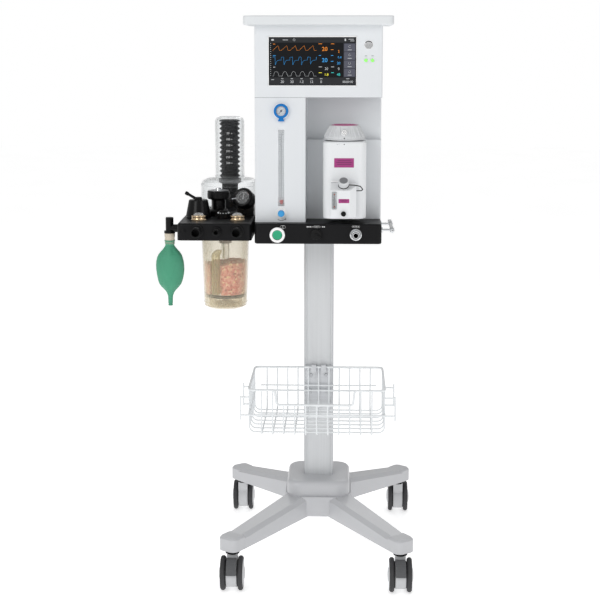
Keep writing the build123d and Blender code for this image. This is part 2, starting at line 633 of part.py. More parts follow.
with BuildPart() as apl:
    turned(level(SLAB_TOP, *APL), [(0, 0), (24, 0), (24, 12), (21, 15), (17, 17), (17, 37), (20, 40),
                                   (5 + RUN, 40), (5 + RUN, 12), (0, 12)])
save(apl.part, "apl_body")

with BuildPart() as apl_knob:
    turned(level(SLAB_TOP + 40.4, *APL), [(0, 0), (24.5, 0), (27, 3), (27, 17), (25, 20), (0, 20)])
    disc(level(SLAB_TOP + 14, *APL), 5, 27)
    with BuildSketch(level(SLAB_TOP + 42, *APL)):
        with PolarLocations(27.4, 20):
            Circle(1.5)
    extrude(amount=13, mode=Mode.SUBTRACT)
save(apl_knob.part, "apl_knob")

with BuildPart() as release:
    turned(level(SLAB_TOP + 0.3, *RELEASE), [(0, 0), (15, 0), (15, 11), (13, 13), (10, 13), (10, 18),
                                             (8.6, 19), (0, 19)])
    disc(level(SLAB_TOP - 10, *RELEASE), 4, 11)
    with BuildSketch(level(SLAB_TOP + 2, *RELEASE)):
        with PolarLocations(15.3, 24):
            Circle(0.9)
    extrude(amount=9, mode=Mode.SUBTRACT)
save(release.part, "release_knob")

# ---- airway gauge --------------------------------------------------------------------------------
with BuildPart() as airway:
    turned(GAUGE_FACE.offset(-30), [(0, 0), (21, 0), (24.5, 4), (24.5, 28), (22.5, 30), (17, 30),
                                    (17, 23), (1, 23), (1, 27), (0, 27)])
    slab_box(-197, -157, -16, 16, SLAB_TOP, 857)
    slab_box(-213, -179, -38, -8, SLAB_TOP, 831)
    disc(GAUGE_FACE.offset(-7), 17, 20, Mode.SUBTRACT)
    disc(GAUGE_FACE.offset(-7), 1, 4)
save(airway.part, "airway_gauge")

with BuildPart() as airway_needle:
    needle(Plane(GAUGE_FACE.offset(-5.4).origin, x_dir=GAUGE_FACE.y_dir, z_dir=GAUGE_FACE.z_dir), 13)
save(airway_needle.part, "airway_needle")

# ---- bell and bellows ----------------------------------------------------------------------------
with BuildPart() as bell:
    turned(level(SLAB_TOP, BELL_X, BELL_Y), [(69, 0), (75, 0), (75, 4), (72, 6), (72, 66), (68, 74),
                                             (58, 79), (39, 80.5), (36, 84), (36, 222), (33, 229),
                                             (24, 232), (0, 232), (0, 229), (23, 229), (31, 226.4),
                                             (33.4, 221), (33.4, 82), (38, 77.6), (56, 76), (65, 71.6),
                                             (69, 64)])
save(bell.part, "bell_housing")

BELLOWS_FOOT = SLAB_TOP + 80.3
BELLOWS_LEN = 140.0
FOLDS = 12
with BuildPart() as bellows:
    pitch = BELLOWS_LEN / FOLDS
    outer = [(21.5, 0)]
    inner = [(20.3, 0)]
    for i in range(FOLDS):
        outer += [(25.5, pitch * (i + 0.5)), (21.5, pitch * (i + 1))]
        inner += [(24.3, pitch * (i + 0.5)), (20.3, pitch * (i + 1))]
    turned(level(BELLOWS_FOOT, BELL_X, BELL_Y), outer + inner[::-1])
save(bellows.part, "bellows")

with BuildPart() as plate:
    turned(level(BELLOWS_FOOT + BELLOWS_LEN + 0.2, BELL_X, BELL_Y), [(0, 0), (25.5, 0), (25.5, 3), (18, 5),
                                                                     (0, 5)])
save(plate.part, "bellows_plate")

# ---- absorbent canister --------------------------------------------------------------------------
RETURN = (-246.0, -58.0)
with BuildPart() as canister:
    turned(level(607, CAN_X, CAN_Y), [(0, 0), (42, 0), (49, 4), (51.5, 12), (57, 171), (59, 171),
                                      (59, 177.6), (54, 177.6), (48.6, 13), (46.6, 5), (41, 3), (0, 3)])
save(canister.part, "canister")

with BuildPart() as granules:
    with BuildSketch(level(640, CAN_X, CAN_Y)):
        Circle(49.0)
    with BuildSketch(level(722, CAN_X, CAN_Y)):
        Circle(51.5)
    loft()
    disc(level(630, *RETURN), 10.4, 110, Mode.SUBTRACT)
save(granules.part, "granules")

with BuildPart() as seal:
    with BuildSketch(level(633, CAN_X, CAN_Y)):
        Circle(48.9)
        Circle(40, mode=Mode.SUBTRACT)
    extrude(amount=7)
save(seal.part, "canister_seal")

with BuildPart() as return_tube:
    with BuildSketch(level(640, *RETURN)):
        Circle(10.2)
        Circle(8, mode=Mode.SUBTRACT)
    extrude(amount=92)
    turned(level(732, *RETURN), [(8, 0), (10.2, 0), (10.2, 3), (7, 8), (0, 10), (0, 7.6), (5.6, 6.2),
                                 (8, 2)])
save(return_tube.part, "canister_handle")

# ---- bag elbow, connector and breathing bag ------------------------------------------------------
with BuildPart() as elbow:
    disc(level(801, BAG_X, BAG_Y), 9.3, 32)
    fillet(elbow.edges().group_by(Axis.Z)[-1], 2)
    disc(level(796, BAG_X, BAG_Y), 13, 5)
    disc(side(BAG_X, BAG_Y, ARM_Z - 7), 9.3, 22)
    disc(side(BAG_X, BAG_Y, ARM_Z - 7), 7.6, 40)
    disc(level(782, BAG_X, BAG_Y), 9.0, 15)
    disc(level(776, BAG_X, BAG_Y), 7, 45, Mode.SUBTRACT)
save(elbow.part, "bag_elbow")

with BuildPart() as connector:
    turned(level(779.8, BAG_X, BAG_Y), [(9, 0), (11.4, 0), (11.6, 6), (12.2, 7), (12.2, 15), (11.4, 16),
                                        (9, 16)])
save(connector.part, "bag_connector")

BAG_RINGS = ((779.5, 11.8, 11.8), (766, 10.4, 10.4), (757, 19, 15), (750, 24, 17.6), (740, 29.2, 21),
             (728, 31.8, 23), (710, 32.6, 23.6), (690, 30, 21.8), (676, 25.8, 19), (664, 16.1, 13),
             (653, 7.7, 7.2), (645, 5.2, 5.2), (626, 4.8, 4.8))
with BuildPart() as bag:
    for z, rx, ry in BAG_RINGS:
        with BuildSketch(level(z, BAG_X, BAG_Y)):
            Ellipse(rx, ry - 0.01)
    loft(ruled=True)
    for z, rx, ry in BAG_RINGS[:10]:
        with BuildSketch(level(z, BAG_X, BAG_Y)):
            Ellipse(rx - 1.1, ry - 1.11)
    loft(ruled=True, mode=Mode.SUBTRACT)
save(bag.part, "breathing_bag")
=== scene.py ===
"""Looks of the veterinary anesthesia machine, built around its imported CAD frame."""
import math
import random
import bmesh
import bpy
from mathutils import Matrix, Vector, noise


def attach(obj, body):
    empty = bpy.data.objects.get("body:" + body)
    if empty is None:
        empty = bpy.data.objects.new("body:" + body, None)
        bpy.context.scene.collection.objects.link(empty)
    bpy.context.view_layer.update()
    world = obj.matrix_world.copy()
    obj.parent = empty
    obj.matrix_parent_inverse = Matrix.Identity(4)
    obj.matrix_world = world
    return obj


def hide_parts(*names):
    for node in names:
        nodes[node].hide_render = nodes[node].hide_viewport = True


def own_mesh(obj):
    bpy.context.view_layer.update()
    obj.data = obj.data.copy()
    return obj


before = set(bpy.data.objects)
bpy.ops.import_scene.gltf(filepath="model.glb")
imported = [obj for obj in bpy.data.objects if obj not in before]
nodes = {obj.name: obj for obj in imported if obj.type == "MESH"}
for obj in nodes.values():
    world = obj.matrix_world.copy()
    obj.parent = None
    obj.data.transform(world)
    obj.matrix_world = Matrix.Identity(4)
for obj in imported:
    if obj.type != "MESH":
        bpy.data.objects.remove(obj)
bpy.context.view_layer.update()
MM = 0.001
COLUMN_X, AXIS_Y = 74.0, 20.0
TAU = 2 * math.pi
CABINET_FRONT, VAPORIZER_FRONT, SLAB_Y = -134.0, -160.0, -162.5
BLOCK_TOP, PORT_Z = 825.0, 806.5


def metres(p):
    """A point in mm from the column axis becomes metres in the row frame."""
    return Vector(((p[0] + COLUMN_X) * MM, (p[1] + AXIS_Y) * MM, p[2] * MM))


# ---- camera -----------------------------------------------------------
LENS_MM = 84.0
EYE = (61.3, -3356.4, 1230.1)
PITCH = 0.1462
YAW = 0.0321
cam_data = bpy.data.cameras.new("camera")
camera = bpy.data.objects.new("camera", cam_data)
bpy.context.scene.collection.objects.link(camera)
bpy.context.scene.camera = camera
cam_data.lens = LENS_MM
cam_data.sensor_width = 36.0
cam_data.shift_y = -0.08
cam_data.clip_end = 60.0
camera.location = metres(EYE)
camera.rotation_euler = (math.pi / 2 - PITCH, 0, YAW)


# ---- materials --------------------------------------------------------
def rgb(r, g, b):
    """Screen colour 0-255 to linear."""
    return tuple(((c / 255 + 0.055) / 1.055) ** 2.4 if c > 10 else c / 255 / 12.92 for c in (r, g, b))


class Graph:
    """A node material, with short ways to add to it."""

    def __init__(self, name):
        self.mat = bpy.data.materials.new(name)
        self.mat.use_nodes = True
        self.tree = self.mat.node_tree
        self.shader = self.tree.nodes["Principled BSDF"]
        self.coords = self.tree.nodes.new("ShaderNodeTexCoord").outputs["Object"]

    def node(self, kind, operation=None, **inputs):
        n = self.tree.nodes.new(kind)
        if operation:
            n.operation = operation
        for key, value in inputs.items():
            self.feed(n.inputs[key], value)
        return n

    def feed(self, socket, value):
        if isinstance(value, bpy.types.NodeSocket):
            self.tree.links.new(value, socket)
        else:
            socket.default_value = value

    def math(self, operation, a, b=0.0):
        n = self.node("ShaderNodeMath", operation)
        self.feed(n.inputs[0], a)
        self.feed(n.inputs[1], b)
        return n.outputs[0]

    def spread(self, value, lo, hi, start=0.0, end=1.0):
        """The stretch from start to end becomes the stretch from lo to hi."""
        return self.node("ShaderNodeMapRange", Value=value, **{
            "From Min": start, "From Max": end, "To Min": lo, "To Max": hi}).outputs[0]

    def mix(self, share, a, b):
        """Mixes two colours."""
        n = self.node("ShaderNodeMix")
        n.data_type = "RGBA"
        for socket, value in ((0, share), (6, a), (7, b)):
            self.feed(n.inputs[socket], value)
        return n.outputs[2]

    def fade(self, share, a, b):
        """Mixes two numbers."""
        n = self.node("ShaderNodeMix")
        for socket, value in ((0, share), (2, a), (3, b)):
            self.feed(n.inputs[socket], value)
        return n.outputs[0]

    def blend(self, share, a, b):
        """Mixes two surfaces."""
        n = self.node("ShaderNodeMixShader")
        for socket, value in zip(n.inputs, (share, a, b)):
            self.feed(socket, value)
        return n.outputs[0]


class Finish(Graph):
    """One procedural material: colour drift, roughness drift and fine relief, with optional masks."""

    def __init__(self, name, colour, rough=0.45, metal=0.0, drift=0.05, drift_scale=9.0, grain=900.0,
                 relief=0.12, depth=0.0002, stretch=(1, 1, 1), coat=0.0, glow=0.0, rough_drift=0.05,
                 shine=0.5):
        super().__init__(name)
        place = self.node("ShaderNodeMapping", Vector=self.coords, Scale=stretch).outputs[0]
        cloud = self.node("ShaderNodeTexNoise", Vector=place, Scale=drift_scale, Detail=5.0).outputs[0]
        lo = tuple(c * (1 - drift) for c in colour) + (1,)
        hi = tuple(min(1, c * (1 + drift)) for c in colour) + (1,)
        self.colour = self.mix(self.spread(cloud, 0.0, 1.0, 0.3, 0.7), lo, hi)
        self.height = self.node("ShaderNodeTexNoise", Vector=place, Scale=grain, Detail=3.0).outputs[0]
        self.rough = self.spread(self.height, rough - rough_drift, rough + rough_drift, 0.3, 0.7)
        self.metal = metal
        self.relief = relief
        self.depth = depth
        self.shader.inputs["Coat Weight"].default_value = coat
        self.shader.inputs["Coat Roughness"].default_value = 0.08
        self.shader.inputs["Specular IOR Level"].default_value = shine
        self.glow = glow

    def axis(self, name):
        """One of the object coordinates, in mm from the column axis."""
        split = self.node("ShaderNodeSeparateXYZ", Vector=self.coords).outputs[name]
        mm = self.math("MULTIPLY", split, 1000.0)
        return self.math("SUBTRACT", mm, {"X": COLUMN_X, "Y": AXIS_Y, "Z": 0.0}[name])

    def band(self, name, lo, hi):
        v = self.axis(name)
        return self.math("MULTIPLY", self.math("GREATER_THAN", v, lo), self.math("LESS_THAN", v, hi))

    def paint(self, mask, colour, rough=None):
        """Another colour, and where given another roughness, inside a mask."""
        self.colour = self.mix(mask, self.colour, tuple(colour) + (1,))
        if rough is not None:
            self.rough = self.fade(mask, self.rough, rough)
        return self

    def done(self):
        s = self.shader
        self.feed(s.inputs["Base Color"], self.colour)
        self.feed(s.inputs["Roughness"], self.rough)
        self.feed(s.inputs["Metallic"], self.metal)
        if self.relief:
            bump = self.node("ShaderNodeBump", Height=self.height)
            bump.inputs["Strength"].default_value = self.relief
            bump.inputs["Distance"].default_value = self.depth
            self.feed(s.inputs["Normal"], bump.outputs[0])
        if self.glow:
            self.feed(s.inputs["Emission Color"], self.colour)
            s.inputs["Emission Strength"].default_value = self.glow
        return self.mat


def simple(name, colour, **k):
    return Finish(name, colour, **k).done()


def clear(name, tint, haze=0.06, body=0.08, rough=0.04, relief=0.0, body_colour=None):
    """Thin clear plastic: see-through face on, shinier and milkier towards its edges."""
    g = Graph(name)
    cloud = g.node("ShaderNodeTexNoise", Vector=g.coords, Scale=30.0).outputs[0]
    polish = g.spread(cloud, rough, rough + 0.05)
    g.feed(g.shader.inputs["Base Color"], tuple(body_colour or tint) + (1,))
    g.feed(g.shader.inputs["Roughness"], polish)
    through = g.node("ShaderNodeBsdfTransparent", Color=tuple(tint) + (1,)).outputs[0]
    edge = g.node("ShaderNodeLayerWeight", Blend=0.35).outputs["Facing"]
    milk = g.spread(edge, body, min(1.0, body + haze + 0.45), 0.1)
    milky = g.blend(milk, through, g.shader.outputs[0])
    turned_away = g.node("ShaderNodeLayerWeight", Blend=0.5).outputs["Facing"]
    share = g.spread(g.math("POWER", turned_away, 5.0), 0.01, 0.5)
    shine = g.node("ShaderNodeBsdfGlossy", Roughness=polish).outputs[0]
    g.feed(g.tree.nodes["Material Output"].inputs["Surface"], g.blend(share, milky, shine))
    if relief:
        bump = g.node("ShaderNodeBump", Height=cloud, Strength=relief, Distance=0.0005)
        g.feed(g.shader.inputs["Normal"], bump.outputs[0])
    return g.mat


cabinet = Finish("cabinet_paint", rgb(219, 222, 225), rough=0.42, drift=0.015, grain=700, relief=0.10,
                 depth=0.00015, coat=0.15)
# The dark band from z 1112.4 to 1113.4 is a painted shadow line for the seam between the head and the lower
# cabinet.
cabinet.paint(cabinet.band("Z", 1112.4, 1113.4), rgb(150, 152, 155), 0.7)
column = Finish("column_anodised_painted_edge_shade", rgb(206, 208, 210), rough=0.4, metal=0.25, drift=0.03,
                stretch=(60, 60, 1), grain=60, relief=0.08, depth=0.0001, drift_scale=3)
# The two darker bands at the column's side edges are painted shade of its rounded corners; the left band is
# darker than the right, as the light falls.
column.paint(column.band("X", -60, -32), rgb(184, 186, 189))
column.paint(column.band("X", 32, 60), rgb(194, 196, 199))
M = {
    "cabinet": cabinet.done(),
    "shelf": simple("shelf_paint", rgb(217, 220, 222), rough=0.5, drift=0.015, grain=900, relief=0.12),
    "base": simple("base_enamel", rgb(190, 191, 194), rough=0.38, drift=0.02, grain=420, relief=0.14,
                   depth=0.0003, coat=0.2),
    "column": column.done(),
    "housing": simple("caster_moulding", rgb(196, 197, 199), rough=0.5, drift=0.03, grain=1200, relief=0.2),
    "tyre": simple("tyre_rubber", rgb(52, 52, 54), rough=0.7, drift=0.12, drift_scale=60, grain=1500,
                   relief=0.3),
    "pedal": simple("pedal_plastic", rgb(88, 89, 91), rough=0.55, drift=0.06, grain=1300, relief=0.25),
    "wire": simple("wire_powder_coat", rgb(226, 229, 231), rough=0.4, drift=0.03, drift_scale=50, grain=1400,
                   relief=0.2),
    "bracket": simple("bracket_steel", rgb(205, 207, 210), rough=0.4, metal=0.4, drift=0.04,
                      stretch=(1, 1, 40), grain=90, relief=0.08),
    "slab": simple("slab_black", rgb(13, 13, 15), rough=0.45, drift=0.1, grain=1100, relief=0.16, coat=0.03,
                   shine=0.16),
    "black": simple("gloss_black", rgb(11, 11, 12), rough=0.26, drift=0.1, grain=900, relief=0.05, coat=0.05,
                    shine=0.18),
    "satin": simple("satin_black", rgb(16, 16, 17), rough=0.45, drift=0.1, grain=1200, relief=0.15,
                    shine=0.15),
    "rubber": simple("bellows_rubber", rgb(10, 10, 11), rough=0.6, drift=0.15, drift_scale=80, grain=1500,
                     relief=0.25, shine=0.2),
    "green": simple("flush_green", rgb(0, 158, 112), rough=0.3, drift=0.05, grain=700, relief=0.05, coat=0.4),
    "white": simple("white_plastic", rgb(243, 243, 243), rough=0.4, drift=0.02, grain=900, relief=0.08),
    "print": simple("printed_white", rgb(226, 226, 226), rough=0.6, drift=0.05, grain=1500, relief=0.1),
    "grey_print": simple("printed_grey", rgb(120, 122, 124), rough=0.6, drift=0.06, grain=1500, relief=0.1),
    "ink": simple("printed_black", rgb(30, 30, 32), rough=0.6, drift=0.08, grain=1500, relief=0.1),
    "red_print": simple("printed_red", rgb(200, 62, 40), rough=0.6, drift=0.06, grain=1500, relief=0.1),
    "chrome": simple("chrome_plate", rgb(214, 216, 218), rough=0.12, metal=1.0, drift=0.04, grain=300,
                     relief=0.03, rough_drift=0.04),
    "gold": simple("gilt_plate", rgb(222, 196, 160), rough=0.16, metal=1.0, drift=0.06, grain=300,
                   relief=0.03, rough_drift=0.04),
    "steel": simple("brushed_tube", rgb(222, 220, 216), rough=0.24, metal=1.0, drift=0.06,
                    stretch=(40, 40, 1), grain=60, relief=0.08),
    "blue": simple("gauge_blue", rgb(0, 112, 186), rough=0.42, drift=0.04, grain=800, relief=0.05, shine=0.3),
    "knob_blue": simple("knob_blue", rgb(38, 146, 208), rough=0.3, drift=0.04, grain=800, relief=0.05,
                        coat=0.3),
    "cap_grey": simple("cap_grey", rgb(203, 205, 207), rough=0.4, drift=0.04, grain=900, relief=0.08),
    "red": simple("float_red", rgb(176, 26, 28), rough=0.3, drift=0.1, grain=800, relief=0.05),
    "vaporizer": simple("vaporizer_enamel", rgb(226, 228, 230), rough=0.3, drift=0.012, grain=500,
                        relief=0.06, coat=0.3),
    "dial": simple("dial_plastic", rgb(205, 207, 209), rough=0.42, drift=0.03, grain=1000, relief=0.12),
    "magenta": simple("magenta_label", rgb(160, 50, 120), rough=0.45, drift=0.05, grain=1200, relief=0.06),
    "magenta_dial": simple("magenta_disc", rgb(186, 72, 132), rough=0.45, drift=0.05, grain=1200,
                           relief=0.06),
    "lid": simple("knob_top_grey", rgb(122, 123, 126), rough=0.35, drift=0.05, grain=900, relief=0.08),
    "beige": simple("connector_beige", rgb(206, 196, 178), rough=0.45, drift=0.05, grain=900, relief=0.12),
    "ceramic": simple("valve_ceramic", rgb(228, 222, 208), rough=0.35, drift=0.05, grain=900, relief=0.05),
    "clear": clear("clear_plastic", (0.975, 0.982, 0.985)),
    "bell": clear("bell_plastic", (0.975, 0.98, 0.982), haze=-0.08, body=0.015,
                  body_colour=(0.80, 0.82, 0.83)),
    "canister": clear("canister_plastic", (0.985, 0.975, 0.945), haze=0.1, body=0.14,
                      body_colour=rgb(246, 234, 208)),
    "yellow_tube": clear("return_tube_plastic", (0.98, 0.96, 0.86), haze=0.15, body=0.2, relief=0.5,
                         body_colour=rgb(246, 230, 178)),
    "window": clear("window_grey", (0.94, 0.945, 0.95), haze=0.1, body=0.25, body_colour=(0.74, 0.75, 0.76)),
}

CAD_LOOKS = {
    "base_casting": "base", "column": "column", "basket_bracket": "bracket", "manifold_slab": "slab",
    "flush_button": "green", "selector_knob": "black", "gas_outlet": "chrome", "side_rail": "chrome",
    "cabinet_head": "cabinet", "cabinet_lower": "cabinet", "shelf": "shelf", "display": "black",
    "oxygen_gauge": "blue", "oxygen_needle": "ink", "clear_covers": "clear", "flow_tube": "clear",
    "flow_float": "red", "flow_knob": "knob_blue", "vaporizer_body": "vaporizer", "vaporizer_dial": "dial",
    "filler_cap": "cap_grey", "cap_strap": "satin", "sight_glass": "window", "drain_screw": "black",
    "absorber_block": "slab", "circuit_ports": "satin", "steel_fittings": "steel",
    "valve_disc_expiratory": "ceramic", "valve_disc_inspiratory": "ceramic", "bag_switch": "black",
    "apl_body": "black", "apl_knob": "black", "release_knob": "black", "airway_gauge": "black",
    "airway_needle": "print", "bell_housing": "bell", "bellows": "rubber", "bellows_plate": "satin",
    "canister": "canister", "granules": "ceramic", "canister_seal": "rubber",
    "canister_handle": "yellow_tube", "bag_elbow": "black", "bag_connector": "beige",
    "breathing_bag": "green",
}
for name in nodes:
    if name.startswith("basket_") and name != "basket_bracket":
        CAD_LOOKS[name] = "wire"
    if name.startswith("caster_fork"):
        CAD_LOOKS[name] = "housing"
    if name.startswith("caster_wheels"):
        CAD_LOOKS[name] = "tyre"
    if name.startswith("brake_pedal"):
        CAD_LOOKS[name] = "pedal"


def dress(name, material):
    mesh = nodes[name].data
    mesh.materials.clear()
    mesh.materials.append(material)


for name, look in CAD_LOOKS.items():
    dress(name, M[look])


# ---- mesh building ----------------------------------------------------
class Piece:
    """Collects mesh parts given in mm from the column axis, then becomes one riding object."""

    def __init__(self):
        self.bm = bmesh.new()

    def add(self, points, faces):
        made = [self.bm.verts.new(p) for p in points]
        for f in faces:
            try:
                self.bm.faces.new([made[i] for i in f])
            except ValueError:
                pass

    def box(self, x0, x1, y0, y1, z0, z1):
        pts = [(x, y, z) for x in (x0, x1) for y in (y0, y1) for z in (z0, z1)]
        self.add(pts, [(0, 1, 3, 2), (4, 6, 7, 5), (0, 4, 5, 1), (2, 3, 7, 6), (0, 2, 6, 4), (1, 5, 7, 3)])

    def lathe(self, profile, origin, axis=(0, 0, 1), seg=64):
        up = Vector(axis).normalized()
        u = up.orthogonal().normalized()
        v = up.cross(u)
        o = Vector(origin)
        rows = []
        for k in range(seg):
            a = TAU * k / seg
            way = u * math.cos(a) + v * math.sin(a)
            rows.append([o + way * r + up * h for r, h in profile])
        pts = [p for row in rows for p in row]
        n = len(profile)
        faces = []
        for k in range(seg):
            j = (k + 1) % seg
            for i in range(n - 1):
                faces.append((k * n + i, j * n + i, j * n + i + 1, k * n + i + 1))
        self.add(pts, faces)

    def tube(self, path, radius, seg=12, closed=False):
        pts = [Vector(p) for p in path]
        n = len(pts)
        frame_u = None
        rings = []
        for i, p in enumerate(pts):
            a = pts[(i - 1) % n] if closed or i else p
            b = pts[(i + 1) % n] if closed or i < n - 1 else p
            way = (b - a).normalized()
            if frame_u is None:
                frame_u = way.orthogonal().normalized()
            frame_u = (frame_u - way * frame_u.dot(way)).normalized()
            side = way.cross(frame_u)
            r = radius[i] if isinstance(radius, (list, tuple)) else radius
            rings.append([p + frame_u * math.cos(TAU * k / seg) * r + side * math.sin(TAU * k / seg) * r
                          for k in range(seg)])
        faces = []
        for i in range(n if closed else n - 1):
            j = (i + 1) % n
            for k in range(seg):
                m = (k + 1) % seg
                faces.append((i * seg + k, i * seg + m, j * seg + m, j * seg + k))
        if not closed:
            faces.append(tuple(range(seg))[::-1])
            faces.append(tuple((n - 1) * seg + k for k in range(seg)))
        self.add([q for ring in rings for q in ring], faces)

    def prism(self, outline, at, thick=0.25, u=(1, 0, 0), v=(0, 0, 1)):
        """A thin plate: outline in (u, v) about a point, thickened along u x v."""
        o, u, v = Vector(at), Vector(u), Vector(v)
        w = u.cross(v).normalized() * thick
        low = [o + u * a + v * b for a, b in outline]
        n = len(low)
        faces = [tuple(range(n))[::-1], tuple(range(n, 2 * n))]
        faces += [(i, (i + 1) % n, (i + 1) % n + n, i + n) for i in range(n)]
        self.add(low + [p + w for p in low], faces)

    def rect(self, cx, cz, w, h, y, thick=0.25, r=0.0, lean=0.0):
        """A plate facing the operator at depth y."""
        pts = rounded(w, h, r)
        c, s = math.cos(lean), math.sin(lean)
        self.prism([(cx + a * c - b * s, cz + a * s + b * c) for a, b in pts], (0, y, 0), thick)

    def ribbon(self, line, width, y, thick=0.2):
        """A drawn line of even width facing the operator."""
        n = len(line)
        left, right = [], []
        for i in range(n):
            a = Vector(line[max(0, i - 1)])
            b = Vector(line[min(n - 1, i + 1)])
            d = (b - a).normalized()
            off = Vector((-d.y, d.x)) * width / 2
            p = Vector(line[i])
            left.append(p + off)
            right.append(p - off)
        for i in range(n - 1):
            quad = [left[i], left[i + 1], right[i + 1], right[i]]
            self.prism([(q.x, q.y) for q in quad], (0, y, 0), thick)

    def arc(self, cx, cz, r, a0, a1, width, y, steps=24, thick=0.2):
        pts = [(cx + r * math.cos(math.radians(a0 + (a1 - a0) * i / steps)),
                cz + r * math.sin(math.radians(a0 + (a1 - a0) * i / steps))) for i in range(steps + 1)]
        self.ribbon(pts, width, y, thick)

    def text(self, words, x, z, y, size, u=(1, 0, 0), v=(0, 0, 1), thick=0.1):
        """Generic figures, centred on a point."""
        curve = bpy.data.curves.new("figures", "FONT")
        curve.body = words
        curve.size = size
        curve.align_x = "CENTER"
        curve.align_y = "CENTER"
        curve.extrude = thick
        curve.resolution_u = 3
        obj = bpy.data.objects.new("figures", curve)
        bpy.context.scene.collection.objects.link(obj)
        bpy.context.view_layer.update()
        mesh = bpy.data.meshes.new_from_object(obj.evaluated_get(bpy.context.evaluated_depsgraph_get()))
        u, v = Vector(u), Vector(v)
        w = u.cross(v)
        o = Vector((x, y, z))
        self.add([o + u * p.co.x + v * p.co.y + w * p.co.z for p in mesh.vertices],
                 [tuple(f.vertices) for f in mesh.polygons])
        bpy.data.objects.remove(obj)
        bpy.data.curves.remove(curve)
        bpy.data.meshes.remove(mesh)

    def done(self, name, material, body="frame", slot=None, smooth=35, bevel=0.0, subdivide=0):
        bm = self.bm
        bmesh.ops.remove_doubles(bm, verts=bm.verts, dist=1e-4)
        bmesh.ops.recalc_face_normals(bm, faces=bm.faces)
        for p in bm.verts:
            p.co = metres(p.co)
        limit = math.radians(smooth)
        for f in bm.faces:
            f.smooth = True
        for e in bm.edges:
            if len(e.link_faces) == 2 and e.calc_face_angle(0) > limit:
                e.smooth = False
        mesh = bpy.data.meshes.new(name)
        bm.to_mesh(mesh)
        bm.free()
        mesh.materials.append(M[material] if isinstance(material, str) else material)
        obj = bpy.data.objects.new(name, mesh)
        bpy.context.scene.collection.objects.link(obj)
        if bevel:
            mod = obj.modifiers.new("edge", "BEVEL")
            mod.width = bevel * MM
            mod.segments = 2
            mod.limit_method = "ANGLE"
        if subdivide:
            mod = obj.modifiers.new("round", "SUBSURF")
            mod.levels = subdivide
            mod.render_levels = subdivide
        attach(obj, body)
        return obj


def turned(name, material, profile, origin, axis=(0, 0, 1), seg=64, **how):
    """A piece made by a single lathe pass."""
    piece = Piece()
    piece.lathe(profile, origin, axis, seg)
    return piece.done(name, material, **how)


def hoop(r, z, wide, steps, tall=None):
    """Lathe outline of a round bead at radius r and height z."""
    tall = tall or wide
    return [(r + wide * math.cos(TAU * i / steps), z + tall * math.sin(TAU * i / steps))
            for i in range(steps + 1)]


def rounded(w, h, r, steps=5):
    """Outline of a rectangle with rounded corners about the origin."""
    if r <= 0:
        return [(-w / 2, -h / 2), (w / 2, -h / 2), (w / 2, h / 2), (-w / 2, h / 2)]
    pts = []
    for cx, cy, a0 in ((w / 2 - r, -h / 2 + r, -90), (w / 2 - r, h / 2 - r, 0),
                       (-w / 2 + r, h / 2 - r, 90), (-w / 2 + r, -h / 2 + r, 180)):
        for i in range(steps + 1):
            a = math.radians(a0 + 90 * i / steps)
            pts.append((cx + r * math.cos(a), cy + r * math.sin(a)))
    return pts


# ---- display ----------------------------------------------------------
GLASS_Y = -133.5
SCREEN = (-13.8, 1195.2, 199.6, 109.6)


def lit(name, colour, glow=0.75):
    look = Finish(name, colour, rough=0.35, drift=0.02, grain=300, relief=0.0, glow=glow)
    look.shader.inputs["Specular IOR Level"].default_value = 0.15
    return look.done()


SCREEN_COLOURS = {"orange": rgb(196, 116, 42), "cyan": rgb(52, 132, 190), "pale": rgb(160, 162, 164),
                  "yellow": rgb(214, 204, 62), "teal": rgb(60, 180, 176), "panel": rgb(12, 13, 15),
                  "bar": rgb(33, 34, 36), "menu": rgb(42, 43, 49), "key": rgb(66, 67, 76)}
drawn = {key: Piece() for key in SCREEN_COLOURS}


def sx(u):
    """Fraction across the display to mm from the column axis."""
    return SCREEN[0] - SCREEN[2] / 2 + u * SCREEN[2]


def sz(v):
    """Fraction down the display to height in mm."""
    return SCREEN[1] + SCREEN[3] / 2 - v * SCREEN[3]


def panel(key, u0, v0, u1, v1, lift=0.0, r=0.0):
    drawn[key].rect(sx((u0 + u1) / 2), sz((v0 + v1) / 2), (u1 - u0) * SCREEN[2], (v1 - v0) * SCREEN[3],
                    GLASS_Y - 0.02 - lift, 0.12, r)


def wave(key, shape, mid, height, count=5.0, width=0.55):
    steps = 150
    pts = []
    for i in range(steps + 1):
        t = i / steps
        pts.append((sx(0.045 + 0.5 * t), sz(mid - height * shape(t * count % 1.0))))
    drawn[key].ribbon(pts, width, GLASS_Y - 0.32, 0.1)


def ramp(t):
    return t / 0.62 if t < 0.62 and t > 0.06 else max(0.0, 1 - (t - 0.62) / 0.14) if t >= 0.62 else 0.0


def flow(t):
    if t < 0.30:
        return 0.62
    if t < 0.36:
        return -1.0 + (t - 0.30) * 4
    return -0.75 * math.exp(-(t - 0.36) * 9)


def hump(t):
    return math.sin(min(1, max(0, (t - 0.12) / 0.56)) * math.pi) ** 0.45


panel("panel", 0.0, 0.0, 1.0, 1.0)
panel("bar", 0.0, 0.0, 1.0, 0.115, 0.13)
panel("bar", 0.0, 0.835, 1.0, 1.0, 0.13)
panel("menu", 0.855, 0.125, 0.995, 0.83, 0.13)
for i in range(4):
    panel("key", 0.862, 0.137 + 0.173 * i, 0.988, 0.297 + 0.173 * i, 0.26, 1.2)
    drawn["pale"].arc(sx(0.925), sz(0.195 + 0.173 * i), 2.4, 20 + 50 * i, 320 + 50 * i, 0.7, GLASS_Y - 0.5)
    drawn["pale"].rect(sx(0.925), sz(0.265 + 0.173 * i), 9.0, 1.0, GLASS_Y - 0.5, 0.1)
wave("orange", ramp, 0.275, 0.10)
wave("cyan", flow, 0.475, 0.10)
wave("pale", hump, 0.805, 0.095)
for i in range(17):
    panel("pale", 0.018, 0.13 + 0.041 * i, 0.026, 0.138 + 0.041 * i, 0.26)
